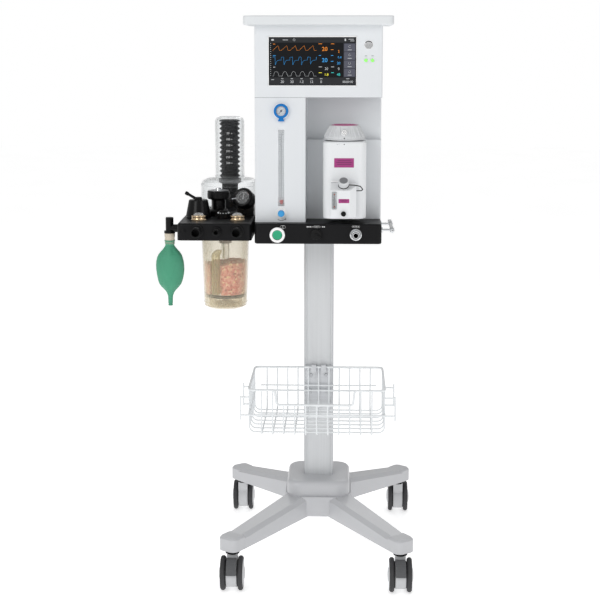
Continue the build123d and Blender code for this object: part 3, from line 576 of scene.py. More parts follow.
for key, words, u, v, size in (
        ("orange", "20", 0.64, 0.25, 13), ("cyan", "20", 0.64, 0.48, 13), ("pale", "20", 0.66, 0.655, 8),
        ("yellow", "1.8", 0.66, 0.775, 8), ("orange", "2", 0.80, 0.30, 8), ("cyan", "0.4", 0.81, 0.42, 7),
        ("cyan", "20", 0.80, 0.54, 8), ("pale", "0", 0.80, 0.655, 8), ("teal", "45", 0.80, 0.775, 8),
        ("pale", "20", 0.155, 0.925, 8), ("pale", "30", 0.265, 0.925, 8), ("pale", "1.2", 0.375, 0.925, 8),
        ("pale", "12", 0.49, 0.925, 8), ("pale", "0", 0.60, 0.925, 8), ("pale", "00:00:00", 0.905, 0.925, 7)):
    drawn[key].text(words, sx(u), sz(v), GLASS_Y - 0.45, size)
for key, u, v, w in (("orange", 0.59, 0.14, 8), ("orange", 0.73, 0.14, 7), ("orange", 0.725, 0.26, 6),
                     ("cyan", 0.585, 0.38, 5), ("cyan", 0.725, 0.38, 5), ("cyan", 0.725, 0.50, 6),
                     ("pale", 0.59, 0.615, 7), ("pale", 0.73, 0.615, 7), ("yellow", 0.59, 0.735, 7),
                     ("teal", 0.73, 0.735, 6), ("pale", 0.155, 0.86, 5), ("pale", 0.265, 0.86, 5),
                     ("pale", 0.375, 0.86, 5), ("pale", 0.49, 0.86, 7), ("pale", 0.60, 0.86, 6),
                     ("pale", 0.905, 0.86, 7), ("orange", 0.062, 0.145, 5), ("cyan", 0.065, 0.385, 6),
                     ("pale", 0.062, 0.62, 5), ("pale", 0.045, 0.88, 6), ("pale", 0.19, 0.06, 12),
                     ("pale", 0.94, 0.045, 12), ("pale", 0.955, 0.08, 9)):
    drawn[key].rect(sx(u), sz(v), w, 1.1, GLASS_Y - 0.45, 0.1)
drawn["pale"].rect(sx(0.045), sz(0.058), 6.0, 3.4, GLASS_Y - 0.45, 0.1, 1.2)
drawn["pale"].rect(sx(0.875), sz(0.058), 3.2, 5.4, GLASS_Y - 0.45, 0.1, 1.0)
drawn["pale"].arc(sx(0.29), sz(0.058), 2.4, 0, 360, 0.8, GLASS_Y - 0.45)
for key, piece in drawn.items():
    piece.done(f"screen_{key}", lit(f"screen_{key}", SCREEN_COLOURS[key]), slot="display_glass", smooth=20)

bezel = Piece()
for cx, cz, w, h in ((SCREEN[0], sz(0) + 0.9, SCREEN[2] + 3.6, 1.8),
                     (SCREEN[0], sz(1) - 0.9, SCREEN[2] + 3.6, 1.8),
                     (sx(0) - 0.9, SCREEN[1], 1.8, SCREEN[3] + 3.6),
                     (sx(1) + 0.9, SCREEN[1], 1.8, SCREEN[3] + 3.6)):
    bezel.rect(cx, cz, w, h, -133.6, 1.1)
bezel.done("screen_bezel", "white", slot="cabinet_paint", bevel=0.3)

# round key beside the display, its printed arcs, and the two lamps
BADGE = (114.2, 1232.5)
turned("round_key", "white", [(0, 1.1), (9.4, 1.1), (10.2, 0.4), (10.2, 0)],
       (BADGE[0], CABINET_FRONT, BADGE[1]),
       (0, -1, 0), slot="cabinet_paint")
marks = Piece()
for i in range(6):
    z = 6.6 - 2.65 * i
    marks.rect(BADGE[0], BADGE[1] + z, 2 * math.sqrt(8.6 ** 2 - z * z) - 0.6, 1.5, -135.0, 0.2, 0.5)
marks.arc(BADGE[0], BADGE[1], 8.9, 0, 360, 0.7, -135.0, 40)
marks.arc(BADGE[0], BADGE[1], 8.4, 35, 145, 1.5, -135.1, 24)
marks.done("round_key_marks", simple("key_grey", rgb(86, 88, 91), rough=0.5, drift=0.05),
           slot="cabinet_paint")
small = Piece()
for x in (108.2, 123.0):
    small.rect(x, 1207.5, 5.5, 1.3, -133.95, 0.15)
small.done("lamp_marks", "grey_print", slot="cabinet_paint")
lamps = Piece()
for x in (108.2, 123.0):
    lamps.lathe([(0, 2.4), (2.0, 2.2), (3.3, 1.2), (3.8, 0.2)], (x, -134.6, 1197.3), (0, -1, 0), 32)
lamps.done("status_lamps", lit("lamp_green", rgb(120, 226, 90), 1.1), slot="display_glass")

# ---- oxygen gauge -----------------------------------------------------
GX, GZ = -85.5, 1082.2
turned("gauge_face", "white", [(1.3, 0.25), (11.1, 0.25), (11.1, 0)], (GX, -137.05, GZ), (0, -1, 0),
       slot="gauge_case")
ticks = Piece()
for i in range(25):
    a = math.radians(225 - 270 * i / 24)
    long = i % 4 == 0
    r = 8.5 if long else 9.1
    ticks.ribbon([(GX + r * math.cos(a), GZ + r * math.sin(a)),
                  (GX + 10.1 * math.cos(a), GZ + 10.1 * math.sin(a))], 0.5 if long else 0.3, -137.35, 0.1)
for i in range(6):
    a = math.radians(225 - 270 * i / 6)
    ticks.text(str(2 * i), GX + 6.6 * math.cos(a), GZ + 6.6 * math.sin(a), -137.4, 2.7)
ticks.done("gauge_ticks", "ink", slot="gauge_case", smooth=20)
zone = Piece()
zone.arc(GX, GZ, 10.6, -45, 225, 0.8, -137.35, 48, 0.1)
zone.done("gauge_zone", "red_print", slot="gauge_case")
turned("gauge_rim_seal", "white", [(17.0, 0), (18.4, 0), (18.4, 0.8), (17.6, 1.2), (17.0, 1.2)],
       (GX, CABINET_FRONT, GZ), (0, -1, 0), slot="cabinet_paint")

# ---- flowmeter: scale on the tube, channel behind it, guard ring --------
FX, FZ = -85.5, 846.5


def wrap(piece, centre, r, a0, a1, z0, z1, thick=0.15, steps=6):
    """A thin strip bent round a vertical cylinder; angles in degrees from the operator's side."""
    pts = []
    for i in range(steps + 1):
        a = math.radians(a0 + (a1 - a0) * i / steps)
        for rr in (r, r + thick):
            for z in (z0, z1):
                pts.append((centre[0] + rr * math.sin(a), centre[1] - rr * math.cos(a), z))
    faces = [(0, 1, 3, 2), (4 * steps, 4 * steps + 2, 4 * steps + 3, 4 * steps + 1)]
    for i in range(steps):
        k = 4 * i
        faces += [(k, k + 4, k + 5, k + 1), (k + 2, k + 3, k + 7, k + 6),
                  (k, k + 2, k + 6, k + 4), (k + 1, k + 5, k + 7, k + 3)]
    piece.add(pts, faces)


channel = Piece()
channel.box(FX - 8.1, FX + 8.1, -119.0, -118.2, 862.2, 1039.8)
for s in (-1, 1):
    channel.box(*sorted((FX + s * 7.5, FX + s * 8.1)), -134.2, -118.4, 862.2, 1039.8)
for z in (862.2, 1039.0):
    channel.box(FX - 8.1, FX + 8.1, -134.2, -133.6, z, z + 0.8)
# The channel's glow is painted light: it lifts the channel out of the shade of its deep slot.
channel.done("flow_channel", simple("channel_white_painted_glow", rgb(235, 236, 238), rough=0.5, drift=0.03, glow=0.15),
             slot="cabinet_paint", bevel=0.2)
scale = Piece()
for i in range(27):
    z = 882 + 5.6 * i
    long = i % 5 == 0
    wrap(scale, (FX, -126.5), 7.05, -62 if long else -48, -16, z, z + 0.55)
    wrap(scale, (FX, -126.5), 7.05, 16, 62 if long else 48, z, z + 0.55)
wrap(scale, (FX, -126.5), 7.05, -3, 3, 882, 1030)
scale.done("flow_scale", simple("scale_grey", rgb(116, 118, 121), rough=0.5, drift=0.05), slot="flow_glass",
           smooth=50)
turned("flow_knob_guard", "white",
       [(11.3, 0), (13.2, 0), (13.2, 2.4), (12.7, 3.0), (11.9, 3.0), (11.3, 2.4)], (FX, CABINET_FRONT, FZ),
       (0, -1, 0), slot="cabinet_paint")
turn_mark = Piece()
turn_mark.arc(FX, FZ, 17.2, 240, 304, 1.1, CABINET_FRONT, 20, 0.15)
turn_mark.ribbon([(FX + 8.4, FZ - 12.0), (FX + 11.2, FZ - 14.2), (FX + 8.0, FZ - 16.4)], 1.0, CABINET_FRONT,
                 0.15)
turn_mark.done("flow_turn_mark", "ink", slot="cabinet_paint")
skirt = Piece()
skirt.lathe([(7.7, 7.05), (9.15, 7.05), (11.0, 4.95), (11.0, 0.5)], (FX, -133.6, FZ), (0, -1, 0))
for i in range(12):
    a = TAU * i / 12
    skirt.tube([(FX + 9.2 * math.cos(a), -140.7, FZ + 9.2 * math.sin(a)),
                (FX + 11.0 * math.cos(a), -138.7, FZ + 11.0 * math.sin(a))], 0.28, 6)
skirt.done("flow_knob_skirt", "white", body="flow_control", slot="flow_knob_blue")
turned("flow_knob_dimple", simple("deep_blue", rgb(8, 62, 120), rough=0.35),
       [(0, 16.3), (1.9, 16.3), (2.3, 16.05), (2.3, 15.9)], (FX, -133.6, FZ), (0, -1, 0), 32,
       body="flow_control", slot="flow_knob_blue")

# ---- vaporizer --------------------------------------------------------
VX, VY, DIAL_Z = 60.6, -115.0, 1016.4
ribs = Piece()
for i in range(22):
    a = TAU * (i + 0.5) / 22
    if abs(math.atan2(math.sin(a + math.pi / 2), math.cos(a + math.pi / 2))) < 0.26:
        continue
    way = Vector((math.cos(a), math.sin(a), 0))
    line = []
    for r, h in ((46.6, 5.0), (46.0, 8.2), (42.4, 15), (38.7, 22.0), (36.4, 28.0), (35.4, 30.6)):
        line.append(Vector((VX, VY, DIAL_Z + h)) + way * r)
    ribs.tube(line, [0.7, 1.7, 1.9, 1.7, 1.4, 0.6], 10)
ribs.done("dial_grips", "dial", body="dial", slot="dial_plastic", smooth=70)
turned("dial_disc", "magenta_dial",
       [(0, 34.6), (24.9, 34.6), (25.6, 34.3), (26.3, 33.35), (31.2, 33.35), (31.4, 33.1), (31.4, 32.9)],
       (VX, VY, DIAL_Z), body="dial", slot="dial_plastic")
turned("dial_foot_rim", "dial", [(47.0, 0.2), (48.2, 0.3), (48.6, 1.0), (48.4, 1.9), (47.4, 2.3)],
       (VX, VY, DIAL_Z), seg=96, body="dial", slot="dial_plastic")
LOCK_AT, LOCK_WAY = Vector((VX - 1, -159.1, 1035.3)), Vector((0, -0.9, 0.436)).normalized()
turned("lock_button_face", "white",
       [(0, 0.9), (6.0, 0.8), (6.9, 0.3), (7.2, -0.6), (7.45, -3.5), (7.45, -6.5)], LOCK_AT, LOCK_WAY, 48,
       body="dial", slot="dial_plastic")
sign = Piece()
up = LOCK_WAY.cross(Vector((1, 0, 0))).normalized()
up = up if up.z > 0 else -up
for i in range(4):
    a0, a1 = TAU * i / 4, TAU * (i + 1) / 4
    outer = [(3.5 * math.cos(a), 3.5 * math.sin(a)) for a in (a0, a1)]
    inner = [(2.5 * math.cos(a), 2.5 * math.sin(a)) for a in (a1, a0)]
    sign.prism(outer + inner, LOCK_AT + LOCK_WAY * 0.85, 0.15, (1, 0, 0), up)
sign.lathe([(5.6, 0.82), (6.0, 0.95), (6.4, 0.72)], LOCK_AT, LOCK_WAY, 48)
sign.done("lock_button_sign", "grey_print", body="dial", slot="dial_plastic")
index = Piece()
index.lathe([(0, 0.3), (1.1, 0.25), (1.3, 0)], (VX - 1, VAPORIZER_FRONT, 1007.6), (0, -1, 0), 20)
for dx in (-17, -13):
    index.rect(VX + dx, 1007.6, 1.4, 0.7, VAPORIZER_FRONT, 0.12)
index.done("index_dot", "ink", slot="vaporizer_paint")
turned("dial_dot", "ink", [(0, 0.35), (1.2, 0.3), (1.4, 0)], (VX - 1, VY - 46.9, DIAL_Z + 5), (0, -1, 0),
       20, body="dial", slot="dial_plastic")
label = Piece()
label.rect(59.4, 965.5, 45.2, 21.3, VAPORIZER_FRONT, 0.35, 0.8)
label.rect(59.4, 881.0, 24.4, 9.2, -190.0, 0.35, 0.5)
label.done("magenta_plates", "magenta", slot="vaporizer_paint", bevel=0.1)
bars = Piece()
for z, w in ((970.6, 30), (966.4, 36), (962.2, 33)):
    bars.rect(59.4, z, w, 1.5, -160.36, 0.12)
for z, w in ((882.8, 17), (879.4, 13)):
    bars.rect(59.4, z, w, 1.2, -190.36, 0.12)
bars.done("magenta_bars", simple("plate_bar", rgb(96, 30, 76), rough=0.5, drift=0.05), slot="vaporizer_paint")
panel_edge = Piece()
panel_edge.box(30.4, 32.0, -190.5, -189.8, 846, 903)
panel_edge.done("filler_ridges", "vaporizer", slot="vaporizer_paint", bevel=0.4)
level_mark = Piece()
level_mark.rect(37.6, 882.0, 1.6, 34, -192.5, 0.15, 0.8)
level_mark.done("sight_channel", "grey_print", slot="sight_window")
tabs = Piece()
for z in (868.0, 896.5):
    tabs.prism([(36.2, z - 1.6), (39.0, z - 1.6), (39.0, z + 1.6), (36.2, z + 1.6)], (0, -192.7, 0), 0.2)
tabs.done("sight_limits", simple("limit_brown", rgb(140, 66, 50), rough=0.5), slot="sight_window")
NECK_AT, NECK_WAY = Vector((VX - 2, -181, 913)), Vector((0, -0.664, 0.747)).normalized()
turned("cap_face", "lid",
       [(0, 21.0), (2.6, 21.0), (3.0, 20.5), (6.0, 20.5), (6.4, 21.2), (8.8, 21.2), (9.4, 20.6),
        (9.4, 20.2)], NECK_AT, NECK_WAY, 48, body="cap", slot="dial_plastic")
cap_ribs = Piece()
side_u = Vector((1, 0, 0))
side_v = NECK_WAY.cross(side_u)
for i in range(24):
    a = TAU * (i + 0.5) / 24
    way = side_u * math.cos(a) + side_v * math.sin(a)
    cap_ribs.tube([NECK_AT + way * 11.75 + NECK_WAY * h for h in (9.0, 10.0, 16.8, 17.8)],
                  [0.25, 0.6, 0.6, 0.25], 8)
cap_ribs.done("cap_ribs", "cap_grey", body="cap", slot="dial_plastic", smooth=70)
pin = Piece()
pin.tube([(30.8, -166, 921.8), (31.4, -166, 922.9), (33.5, -166, 923.4), (46, -166, 923.4)],
         [0.9, 1.8, 1.9, 1.9], 14)
pin.tube([(46, -166, 923.4), (48, -168, 923.4), (50, -170, 922.4)], [1.2, 1.2, 1.0], 12)
pin.done("filler_pin", "white", slot="vaporizer_paint", smooth=60)

# ---- casters: hub caps, swivel rings ----------------------------------
for corner, cx, cy, way in (("front_left", -192, -286, -1), ("front_right", 192, -286, -1),
                            ("rear_left", -206, 246, 1), ("rear_right", 206, 246, 1)):
    turned(f"swivel_neck_{corner}", "chrome",
           [(8.2, 89.2), (12.4, 89.2), (13.4, 88.2), (13.6, 85.6), (13.9, 84.6)], (cx, cy, 0), seg=48,
           body=f"caster_{corner}", slot="caster_housing", smooth=50)
    turned(f"swivel_ring_{corner}", "satin",
           [(13.2, 80.4), (15.6, 80.6), (16.2, 81.6), (16.2, 83.4), (15.4, 84.4), (13.2, 84.6)],
           (cx, cy, 0), seg=48, body=f"caster_{corner}", slot="caster_housing", smooth=50)
    if way < 0:
        bridge = Piece()
        turns = [math.radians(172 + 6 * i) for i in range(10)]
        bridge.add([(cx + dx, cy - 18 + rr * math.cos(t), 39 + rr * math.sin(t)) for t in turns
                    for dx in (-2.7, 2.7) for rr in (31.9, 32.35)],
                   [(4 * i + a, 4 * i + b, 4 * i + 4 + b, 4 * i + 4 + a) for i in range(9)
                    for a, b in ((0, 1), (1, 3), (3, 2), (2, 0))] + [(0, 2, 3, 1), (36, 37, 39, 38)])
        bridge.done(f"slot_bridge_{corner}", "housing", body=f"caster_{corner}", slot="caster_housing",
                    smooth=50)
    hubs = Piece()
    for out in (-1, 1):
        hubs.lathe([(0, 4.2), (4.0, 4.1), (10.0, 3.7), (12.4, 3.3), (20.2, 0.4), (27.4, -1.4), (28.2, -1.3),
                    (29.2, -0.3), (29.9, 0.35), (30.4, 0.2), (30.6, -0.2)],
                   (cx + out * 25.5, cy + way * 18, 39), (out, 0, 0), 56)
    hubs.done(f"hub_caps_{corner}", "housing", body=f"wheels_{corner}", slot="caster_wheel", smooth=50)

# ---- slab: flush button ring, selector and outlet marks ---------------
turned("flush_guard", "white",
       [(11.6, 3.1), (11.8, 4.3), (13.0, 4.9), (15.9, 4.9), (17.2, 4.0), (17.7, 2.6), (17.7, 0)],
       (-93.6, SLAB_Y, 799), (0, -1, 0), 72, slot="slab_black")
turned("flush_rim", simple("flush_rim_green", rgb(70, 196, 150), rough=0.35),
       [(9.4, 2.35), (10.0, 2.75), (10.6, 2.35)], (-93.6, SLAB_Y, 799), (0, -1, 0), 48, body="flush_button",
       slot="flush_green")
legend = Piece()
legend.arc(-84.0, 817.6, 3.0, 0, 360, 0.8, SLAB_Y, 24, 0.15)
legend.arc(-77.6, 817.6, 3.0, -140, 140, 0.8, SLAB_Y, 24, 0.15)
legend.rect(-80.8, 820.6, 5.6, 0.8, SLAB_Y, 0.15)
legend.rect(-80.8, 814.6, 5.6, 0.8, SLAB_Y, 0.15)
for x, w in ((-24.6, 2.4), (-20.8, 2.4), (-16.9, 2.4), (10.4, 2.4), (14.4, 2.4), (-12.5, 3.2), (5.4, 3.2)):
    legend.rect(x, 818.2, w, 2.6 if abs(w - 2.4) < 0.1 else 0.8, SLAB_Y, 0.15, 0.5 if w < 3 else 0)
outline = [(x - 3.2, 818.2 + z) for x, z in rounded(13.6, 4.6, 2.2)]
legend.ribbon(outline + outline[:2], 0.7, SLAB_Y, 0.15)
for dx in (-3.4, 0, 3.4):
    legend.rect(-3.2 + dx, 818.2, 2.0, 1.8, SLAB_Y, 0.15)
outline = [(x + 87.2, 818.8 + z) for x, z in rounded(17.5, 4.8, 1.0)]
legend.ribbon(outline + outline[:2], 0.6, SLAB_Y, 0.15)
for dx in (-6, -2, 2, 6):
    legend.rect(87.2 + dx, 818.8, 2.2, 2.0, SLAB_Y, 0.15, 0.4)
legend.done("slab_marks", "print", slot="slab_black", smooth=20)
turned("outlet_bore", "satin", [(0, 6), (5.45, 6), (5.45, 45.5), (7.6, 46.2), (8.4, 46.1), (8.4, 45.9)],
       (87.2, SLAB_Y + 24, 800.5), (0, -1, 0), 48, slot="chrome")
knurl = Piece()
for i in range(36):
    a = TAU * i / 36
    x, z = 87.2 + 11.1 * math.cos(a), 800.5 + 11.1 * math.sin(a)
    knurl.tube([(x, SLAB_Y - 9.5, z), (x, SLAB_Y - 18.0, z)], 0.45, 6)
knurl.done("outlet_knurl", "chrome", slot="chrome", smooth=70)
turned("selector_edge", simple("dark_grey_edge", rgb(70, 71, 73), rough=0.35),
       [(8.0, 9.3), (9.6, 9.35), (10.6, 8.9)], (-4.2, SLAB_Y, 801), (0, -1, 0), 48, body="selector",
       slot="knob_black")
caps = Piece()
for y in (-156.0, 35.0):
    caps.lathe([(0, 1.2), (2.6, 1.1), (4.2, 0.5), (4.9, -0.6), (4.9, -3.5), (4.55, -4.2)],
               (171, y, 808), (0, -1 if y < 0 else 1, 0), 32)
caps.done("rail_end_caps", "chrome", slot="chrome")

# ---- absorber block ---------------------------------------------------
plug = Piece()
plug.lathe([(0, 0.9), (4.6, 0.9), (5.2, 0.5), (5.2, 0)], (-311, SLAB_Y, PORT_Z), (0, -1, 0), 32)
plug.lathe([(5.8, 0.1), (6.6, 0.45), (7.2, 0.1)], (-311, SLAB_Y, PORT_Z), (0, -1, 0), 32)
plug.done("block_plug", "satin", slot="block_black")
bores = Piece()
for x, r in ((-280, 8.9), (-187, 8.9), (-233.7, 4.9)):
    bores.lathe([(0, 4), (r, 4), (r, 29 if r > 5 else 21)], (x, SLAB_Y, PORT_Z), (0, -1, 0), 40)
bores.done("port_bores", "satin", slot="port_black")
lips = Piece()
for x, r, h in ((-280, 11.1, 29), (-187, 11.1, 29), (-233.7, 6.6, 21)):
    lips.lathe([(r - 1.6, h + 1.15), (r - 0.5, h + 1.3), (r + 0.25, h + 0.7), (r + 0.35, h - 1.6),
                (r + 0.1, h - 2)],
               (x, SLAB_Y, PORT_Z), (0, -1, 0), 40)
lips.done("port_lips", "black", slot="port_black")
VALVES = ((-282.0, -92.0), (-191.0, -92.0))
rims = Piece()
for x, y in VALVES:
    torus = hoop(14.6, 8.2, 2.5, 16, 2.6)
    rims.lathe(torus, (x, y, BLOCK_TOP), seg=56)
    rims.lathe([(16.5, 0), (18.0, 0.1), (18.3, 0.8), (17.2, 1.8), (16.6, 3.2), (16.5, 6.4)],
               (x, y, BLOCK_TOP), seg=56)
rims.done("valve_rims", "gold", slot="chrome", smooth=60)
seats = Piece()
for x, y in VALVES:
    for i in range(4):
        a = TAU * (i + 0.5) / 4
        seats.tube([(x + 11.0 * math.cos(a), y + 11.0 * math.sin(a), 827.4),
                    (x + 11.0 * math.cos(a), y + 11.0 * math.sin(a), 833.2)], 0.7, 10)
    seats.lathe([(10.6, 8.1), (11.3, 8.1), (11.3, 8.7), (10.6, 8.7), (10.6, 8.1)], (x, y, BLOCK_TOP), seg=40)
seats.done("valve_cages", "chrome", slot="chrome", smooth=60)

APL = (-243.0, -3.0)
turned("apl_top_ring", "lid",
       [(8.6, 20.2), (9.2, 20.35), (22.6, 20.35), (23.6, 20.6), (24.3, 20.45), (24.6, 20.0)], (*APL, 865.4),
       seg=72, body="apl_knob", slot="knob_black")
turned("apl_hub", "chrome", [(0, 26.2), (4.5, 26.0), (6.8, 25.0), (7.6, 23.2), (8.3, 20.3)], (*APL, 865.4),
       seg=48, body="apl_knob", slot="knob_black")
RELEASE = (-226.0, -62.0)
teeth = Piece()
for i in range(12):
    a = TAU * i / 12
    way = Vector((math.cos(a), math.sin(a), 0))
    base = Vector((*RELEASE, 825.3))
    teeth.tube([base + way * 13.6 + Vector((0, 0, 10.4)), base + way * 14.0 + Vector((0, 0, 12.2)),
                base + way * 12.6 + Vector((0, 0, 13.3)), base + way * 10.9 + Vector((0, 0, 13.4))],
               [0.7, 1.25, 1.25, 0.6], 10)
teeth.done("release_teeth", "chrome", body="release", slot="knob_black", smooth=70)

# ---- airway gauge face ------------------------------------------------
FACE_N = Vector((-0.3, -0.85, 0.433)).normalized()
FACE_U = Vector((0.943, -0.333, 0)).normalized()
FACE_V = FACE_N.cross(FACE_U).normalized()
FACE_O = Vector((-184, -22, 871.5)) - FACE_N * 6.9


def on_face(r, a, lift=0.0):
    a = math.radians(a)
    return FACE_O + FACE_U * r * math.cos(a) + FACE_V * r * math.sin(a) + FACE_N * lift


dial_marks = Piece()
for i in range(31):
    a = 230 - 280 * i / 30
    long = i % 5 == 0
    p, q = on_face(11.6 if long else 12.8, a, 0.1), on_face(14.4, a, 0.1)
    dial_marks.tube([p, q], 0.32 if long else 0.2, 6)
dial_marks.tube([on_face(14.9, 230 - 280 * i / 60, 0.1) for i in range(61)], 0.28, 8)
for i, n in enumerate(("-10", "10", "30", "50", "70")):
    dial_marks.text(n, *(on_face(9.0, 215 - 62 * i, 0.1).x, on_face(9.0, 215 - 62 * i, 0.1).z,
                         on_face(9.0, 215 - 62 * i, 0.1).y), 2.9, FACE_U, FACE_V, 0.08)
dial_marks.done("airway_scale", "print", slot="gauge_case", smooth=50)
arc_zone = Piece()
arc_zone.tube([on_face(15.7, 60 - 110 * i / 24, 0.1) for i in range(25)], 0.35, 8)
arc_zone.done("airway_zone", "red_print", slot="gauge_case", smooth=60)
turned("airway_bezel", "black", [(17.2, 0.1), (18.4, 0.8), (20.8, 0.9), (22.3, 0.1)],
       Vector((-184, -22, 871.5)), FACE_N, 64, slot="gauge_case")
stub = Piece()
stub.tube([(-209, -40, 868), (-200, -30, 868.5), (-197, -26, 869)], 1.7, 12)
stub.done("gauge_stub", "chrome", slot="chrome", smooth=60)

# ---- bell: volume scale, moulded rings; bellows -----------------------
BX, BY = -224.0, 107.0
volume = Piece()
for i in range(6):
    z = 1018 - 14.6 * i
    wrap(volume, (BX, BY), 36.12, 10.5, 14.5, z - 0.6, z + 0.6)
    a = math.radians(-1)
    u = Vector((math.cos(a), math.sin(a), 0))
    p = Vector((BX + 36.5 * math.sin(a) - 0.5, BY - 36.5 * math.cos(a), z))
    volume.text(str(50 * (i + 1)), p.x, p.z, p.y, 7.0, u, (0, 0, 1), 0.1)
volume.done("bell_scale", "print", slot="bell_clear", smooth=40)
mould = Piece()
for r, z in ((36.1, 910.6), (72.05, 889.0), (75.05, 827)):
    torus = hoop(r, 0, 0.55, 8)
    mould.lathe(torus, (BX, BY, z), seg=96)
torus = hoop(24, 232.0, 0.9, 10)
mould.lathe(torus, (BX, BY, BLOCK_TOP), seg=72)
mould.done("bell_rings", "clear", slot="bell_clear", smooth=70)
FOOT, LENGTH, FOLDS = 905.35, 140.0, 12
pitch = LENGTH / FOLDS
profile = []
for i in range(FOLDS):
    for t, r in ((0.0, 20.2), (0.1, 20.9), (0.3, 23.4), (0.42, 25.0), (0.5, 25.4), (0.58, 25.0), (0.7, 23.4),
                 (0.9, 20.9)):
        profile.append((r, pitch * (i + t)))
profile.append((20.2, LENGTH))
skin = Piece()
skin.lathe([(18.0, 0)] + profile + [(18.0, LENGTH)], (BX, BY, FOOT), seg=72)
bellows = skin.done("bellows_skin", "rubber", body="frame", slot="bellows_rubber", smooth=80)
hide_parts("bellows")
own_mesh(bellows)
turned("bellows_top", "rubber",
       [(0, 5.6), (9, 5.6), (10, 5.2), (17.6, 5.2), (24.4, 3.6), (25.6, 2.2), (25.6, 0.4)],
       (BX, BY, FOOT + 140.2), seg=64, body="bellows_plate", slot="plate_black")
collars = Piece()
for r, z in ((26.9, 902.6), (27.2, 897.5)):
    torus = hoop(r, 0, 1.3, 12)
    collars.lathe(torus, (BX, BY, z), seg=64)
collars.done("bellows_collars", "satin", slot="port_black", smooth=70)

# ---- canister: absorbent, seal edge, moulded foot, return tube --------
CX, CY = -225.0, -30.0
RX, RY = -246.0, -58.0
rng = random.Random(7)
speckle = Finish("absorbent_pink", rgb(222, 128, 112), rough=0.75, drift=0.1, drift_scale=60, grain=1200,
                 relief=0.4, depth=0.0004)
cells = speckle.node("ShaderNodeTexVoronoi", Vector=speckle.coords, Scale=210.0)
tone = speckle.node("ShaderNodeSeparateColor", Color=cells.outputs["Color"]).outputs[0]
ramp_node = speckle.tree.nodes.new("ShaderNodeValToRGB")
stops = ((0.0, (184, 96, 92)), (0.10, (222, 128, 120)), (0.35, (236, 160, 148)), (0.6, (242, 180, 162)),
         (0.8, (246, 204, 178)), (0.93, (252, 228, 188)))
while len(ramp_node.color_ramp.elements) < len(stops):
    ramp_node.color_ramp.elements.new(0.5)
for element, (place, colour) in zip(ramp_node.color_ramp.elements, stops):
    element.position = place
    element.color = rgb(*colour) + (1,)
ramp_node.color_ramp.interpolation = "CONSTANT"
speckle.feed(ramp_node.inputs[0], tone)
speckle.colour = ramp_node.outputs[0]
M["absorbent"] = speckle.done()


def bed_radius(z):
    return 48.6 + (z - 620) * 5.4 / 164.6 - 0.5


def bed_top(x, y):
    """Height of the poured absorbent at a place, in mm."""
    sway = noise.noise(Vector((x * 0.028, y * 0.028, 3.1)))
    fine = noise.noise(Vector((x * 0.09, y * 0.09, 8.4)))
    dip = math.exp(-((x - RX) ** 2 + (y - RY) ** 2) / 500)
    return 716 + 6 * sway + 2.5 * fine + 0.05 * (x - CX) - 3 * dip


pile = Piece()


def pellet(p, way, length, r):
    way = Vector(way).normalized()
    u = way.orthogonal().normalized()
    v = way.cross(u)
    rows = []
    for h, rr in ((-length / 2 - r * 0.7, 0.45), (-length / 2, 1.0), (length / 2, 1.0),
                  (length / 2 + r * 0.7, 0.45)):
        rows.append([Vector(p) + way * h + (u * math.cos(TAU * k / 7) + v * math.sin(TAU * k / 7)) * r * rr
                     for k in range(7)])
    faces = [(7 * j + k, 7 * j + (k + 1) % 7, 7 * j + 7 + (k + 1) % 7, 7 * j + 7 + k)
             for j in range(3) for k in range(7)]
    faces += [tuple(range(7))[::-1], tuple(range(21, 28))]
    pile.add([q for row in rows for q in row], faces)


def loose(n, place):
    made = 0
    while made < n:
        p = place()
        if p is None or math.hypot(p[0] - RX, p[1] - RY) < 13.0 or math.hypot(p[0] - CX, p[1] - CY) < 11.5:
            continue
        if abs(p[0] - RX) < 12.5 and p[1] < RY:
            continue
        tilt = Vector((rng.gauss(0, 1), rng.gauss(0, 1), rng.gauss(0, 0.8)))
        pellet(p, tilt, rng.uniform(1.4, 3.0), rng.uniform(1.15, 1.5))
        made += 1


def against_wall():
    a, z = rng.uniform(0, TAU), rng.uniform(641.5, 726)
    r = bed_radius(z) - 2.6 - rng.uniform(0, 1.2)
    x, y = CX + r * math.cos(a), CY + r * math.sin(a)
    return (x, y, z) if z < bed_top(x, y) else None


def on_top():
    r, a = 48.0 * math.sqrt(rng.random()), rng.uniform(0, TAU)
    x, y = CX + r * math.cos(a), CY + r * math.sin(a)
    return x, y, bed_top(x, y) - rng.uniform(0, 2.4)


loose(3000, against_wall)
loose(900, on_top)
absorbent = pile.done("absorbent_pellets", "absorbent", body="canister", slot="granules_pink", smooth=60)
core = Piece()
rows, ring_count = [], 14
for j in range(ring_count + 1):
    for k in range(72):
        a = TAU * k / 72
        if j == 0:
            x, y, z = CX + 46.4 * math.cos(a), CY + 46.4 * math.sin(a), 640.4
        else:
            r = (48.0) * (1 - (j - 1) / ring_count)
            x, y = CX + r * math.cos(a), CY + r * math.sin(a)
            z = bed_top(x, y) - 2.0
            if math.hypot(x - RX, y - RY) < 14:
                z -= 6
        if abs(x - RX) < 13 and y < RY + 12:
            y = RY + 12
        rows.append((x, y, z))
core.add(rows, [(72 * j + k, 72 * j + (k + 1) % 72, 72 * j + 72 + (k + 1) % 72, 72 * j + 72 + k)
                for j in range(ring_count) for k in range(72)] + [tuple(range(72))[::-1]])
core.done("absorbent_core", "absorbent", body="canister", slot="granules_pink", smooth=60)
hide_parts("granules")
lip = Piece()
torus = hoop(48.5, 639.2, 0.9, 10)
lip.lathe(torus, (CX, CY, 0), seg=96)
lip.done("seal_lip", "rubber", body="canister", slot="seal_black", smooth=70)
foot_ring = Piece()
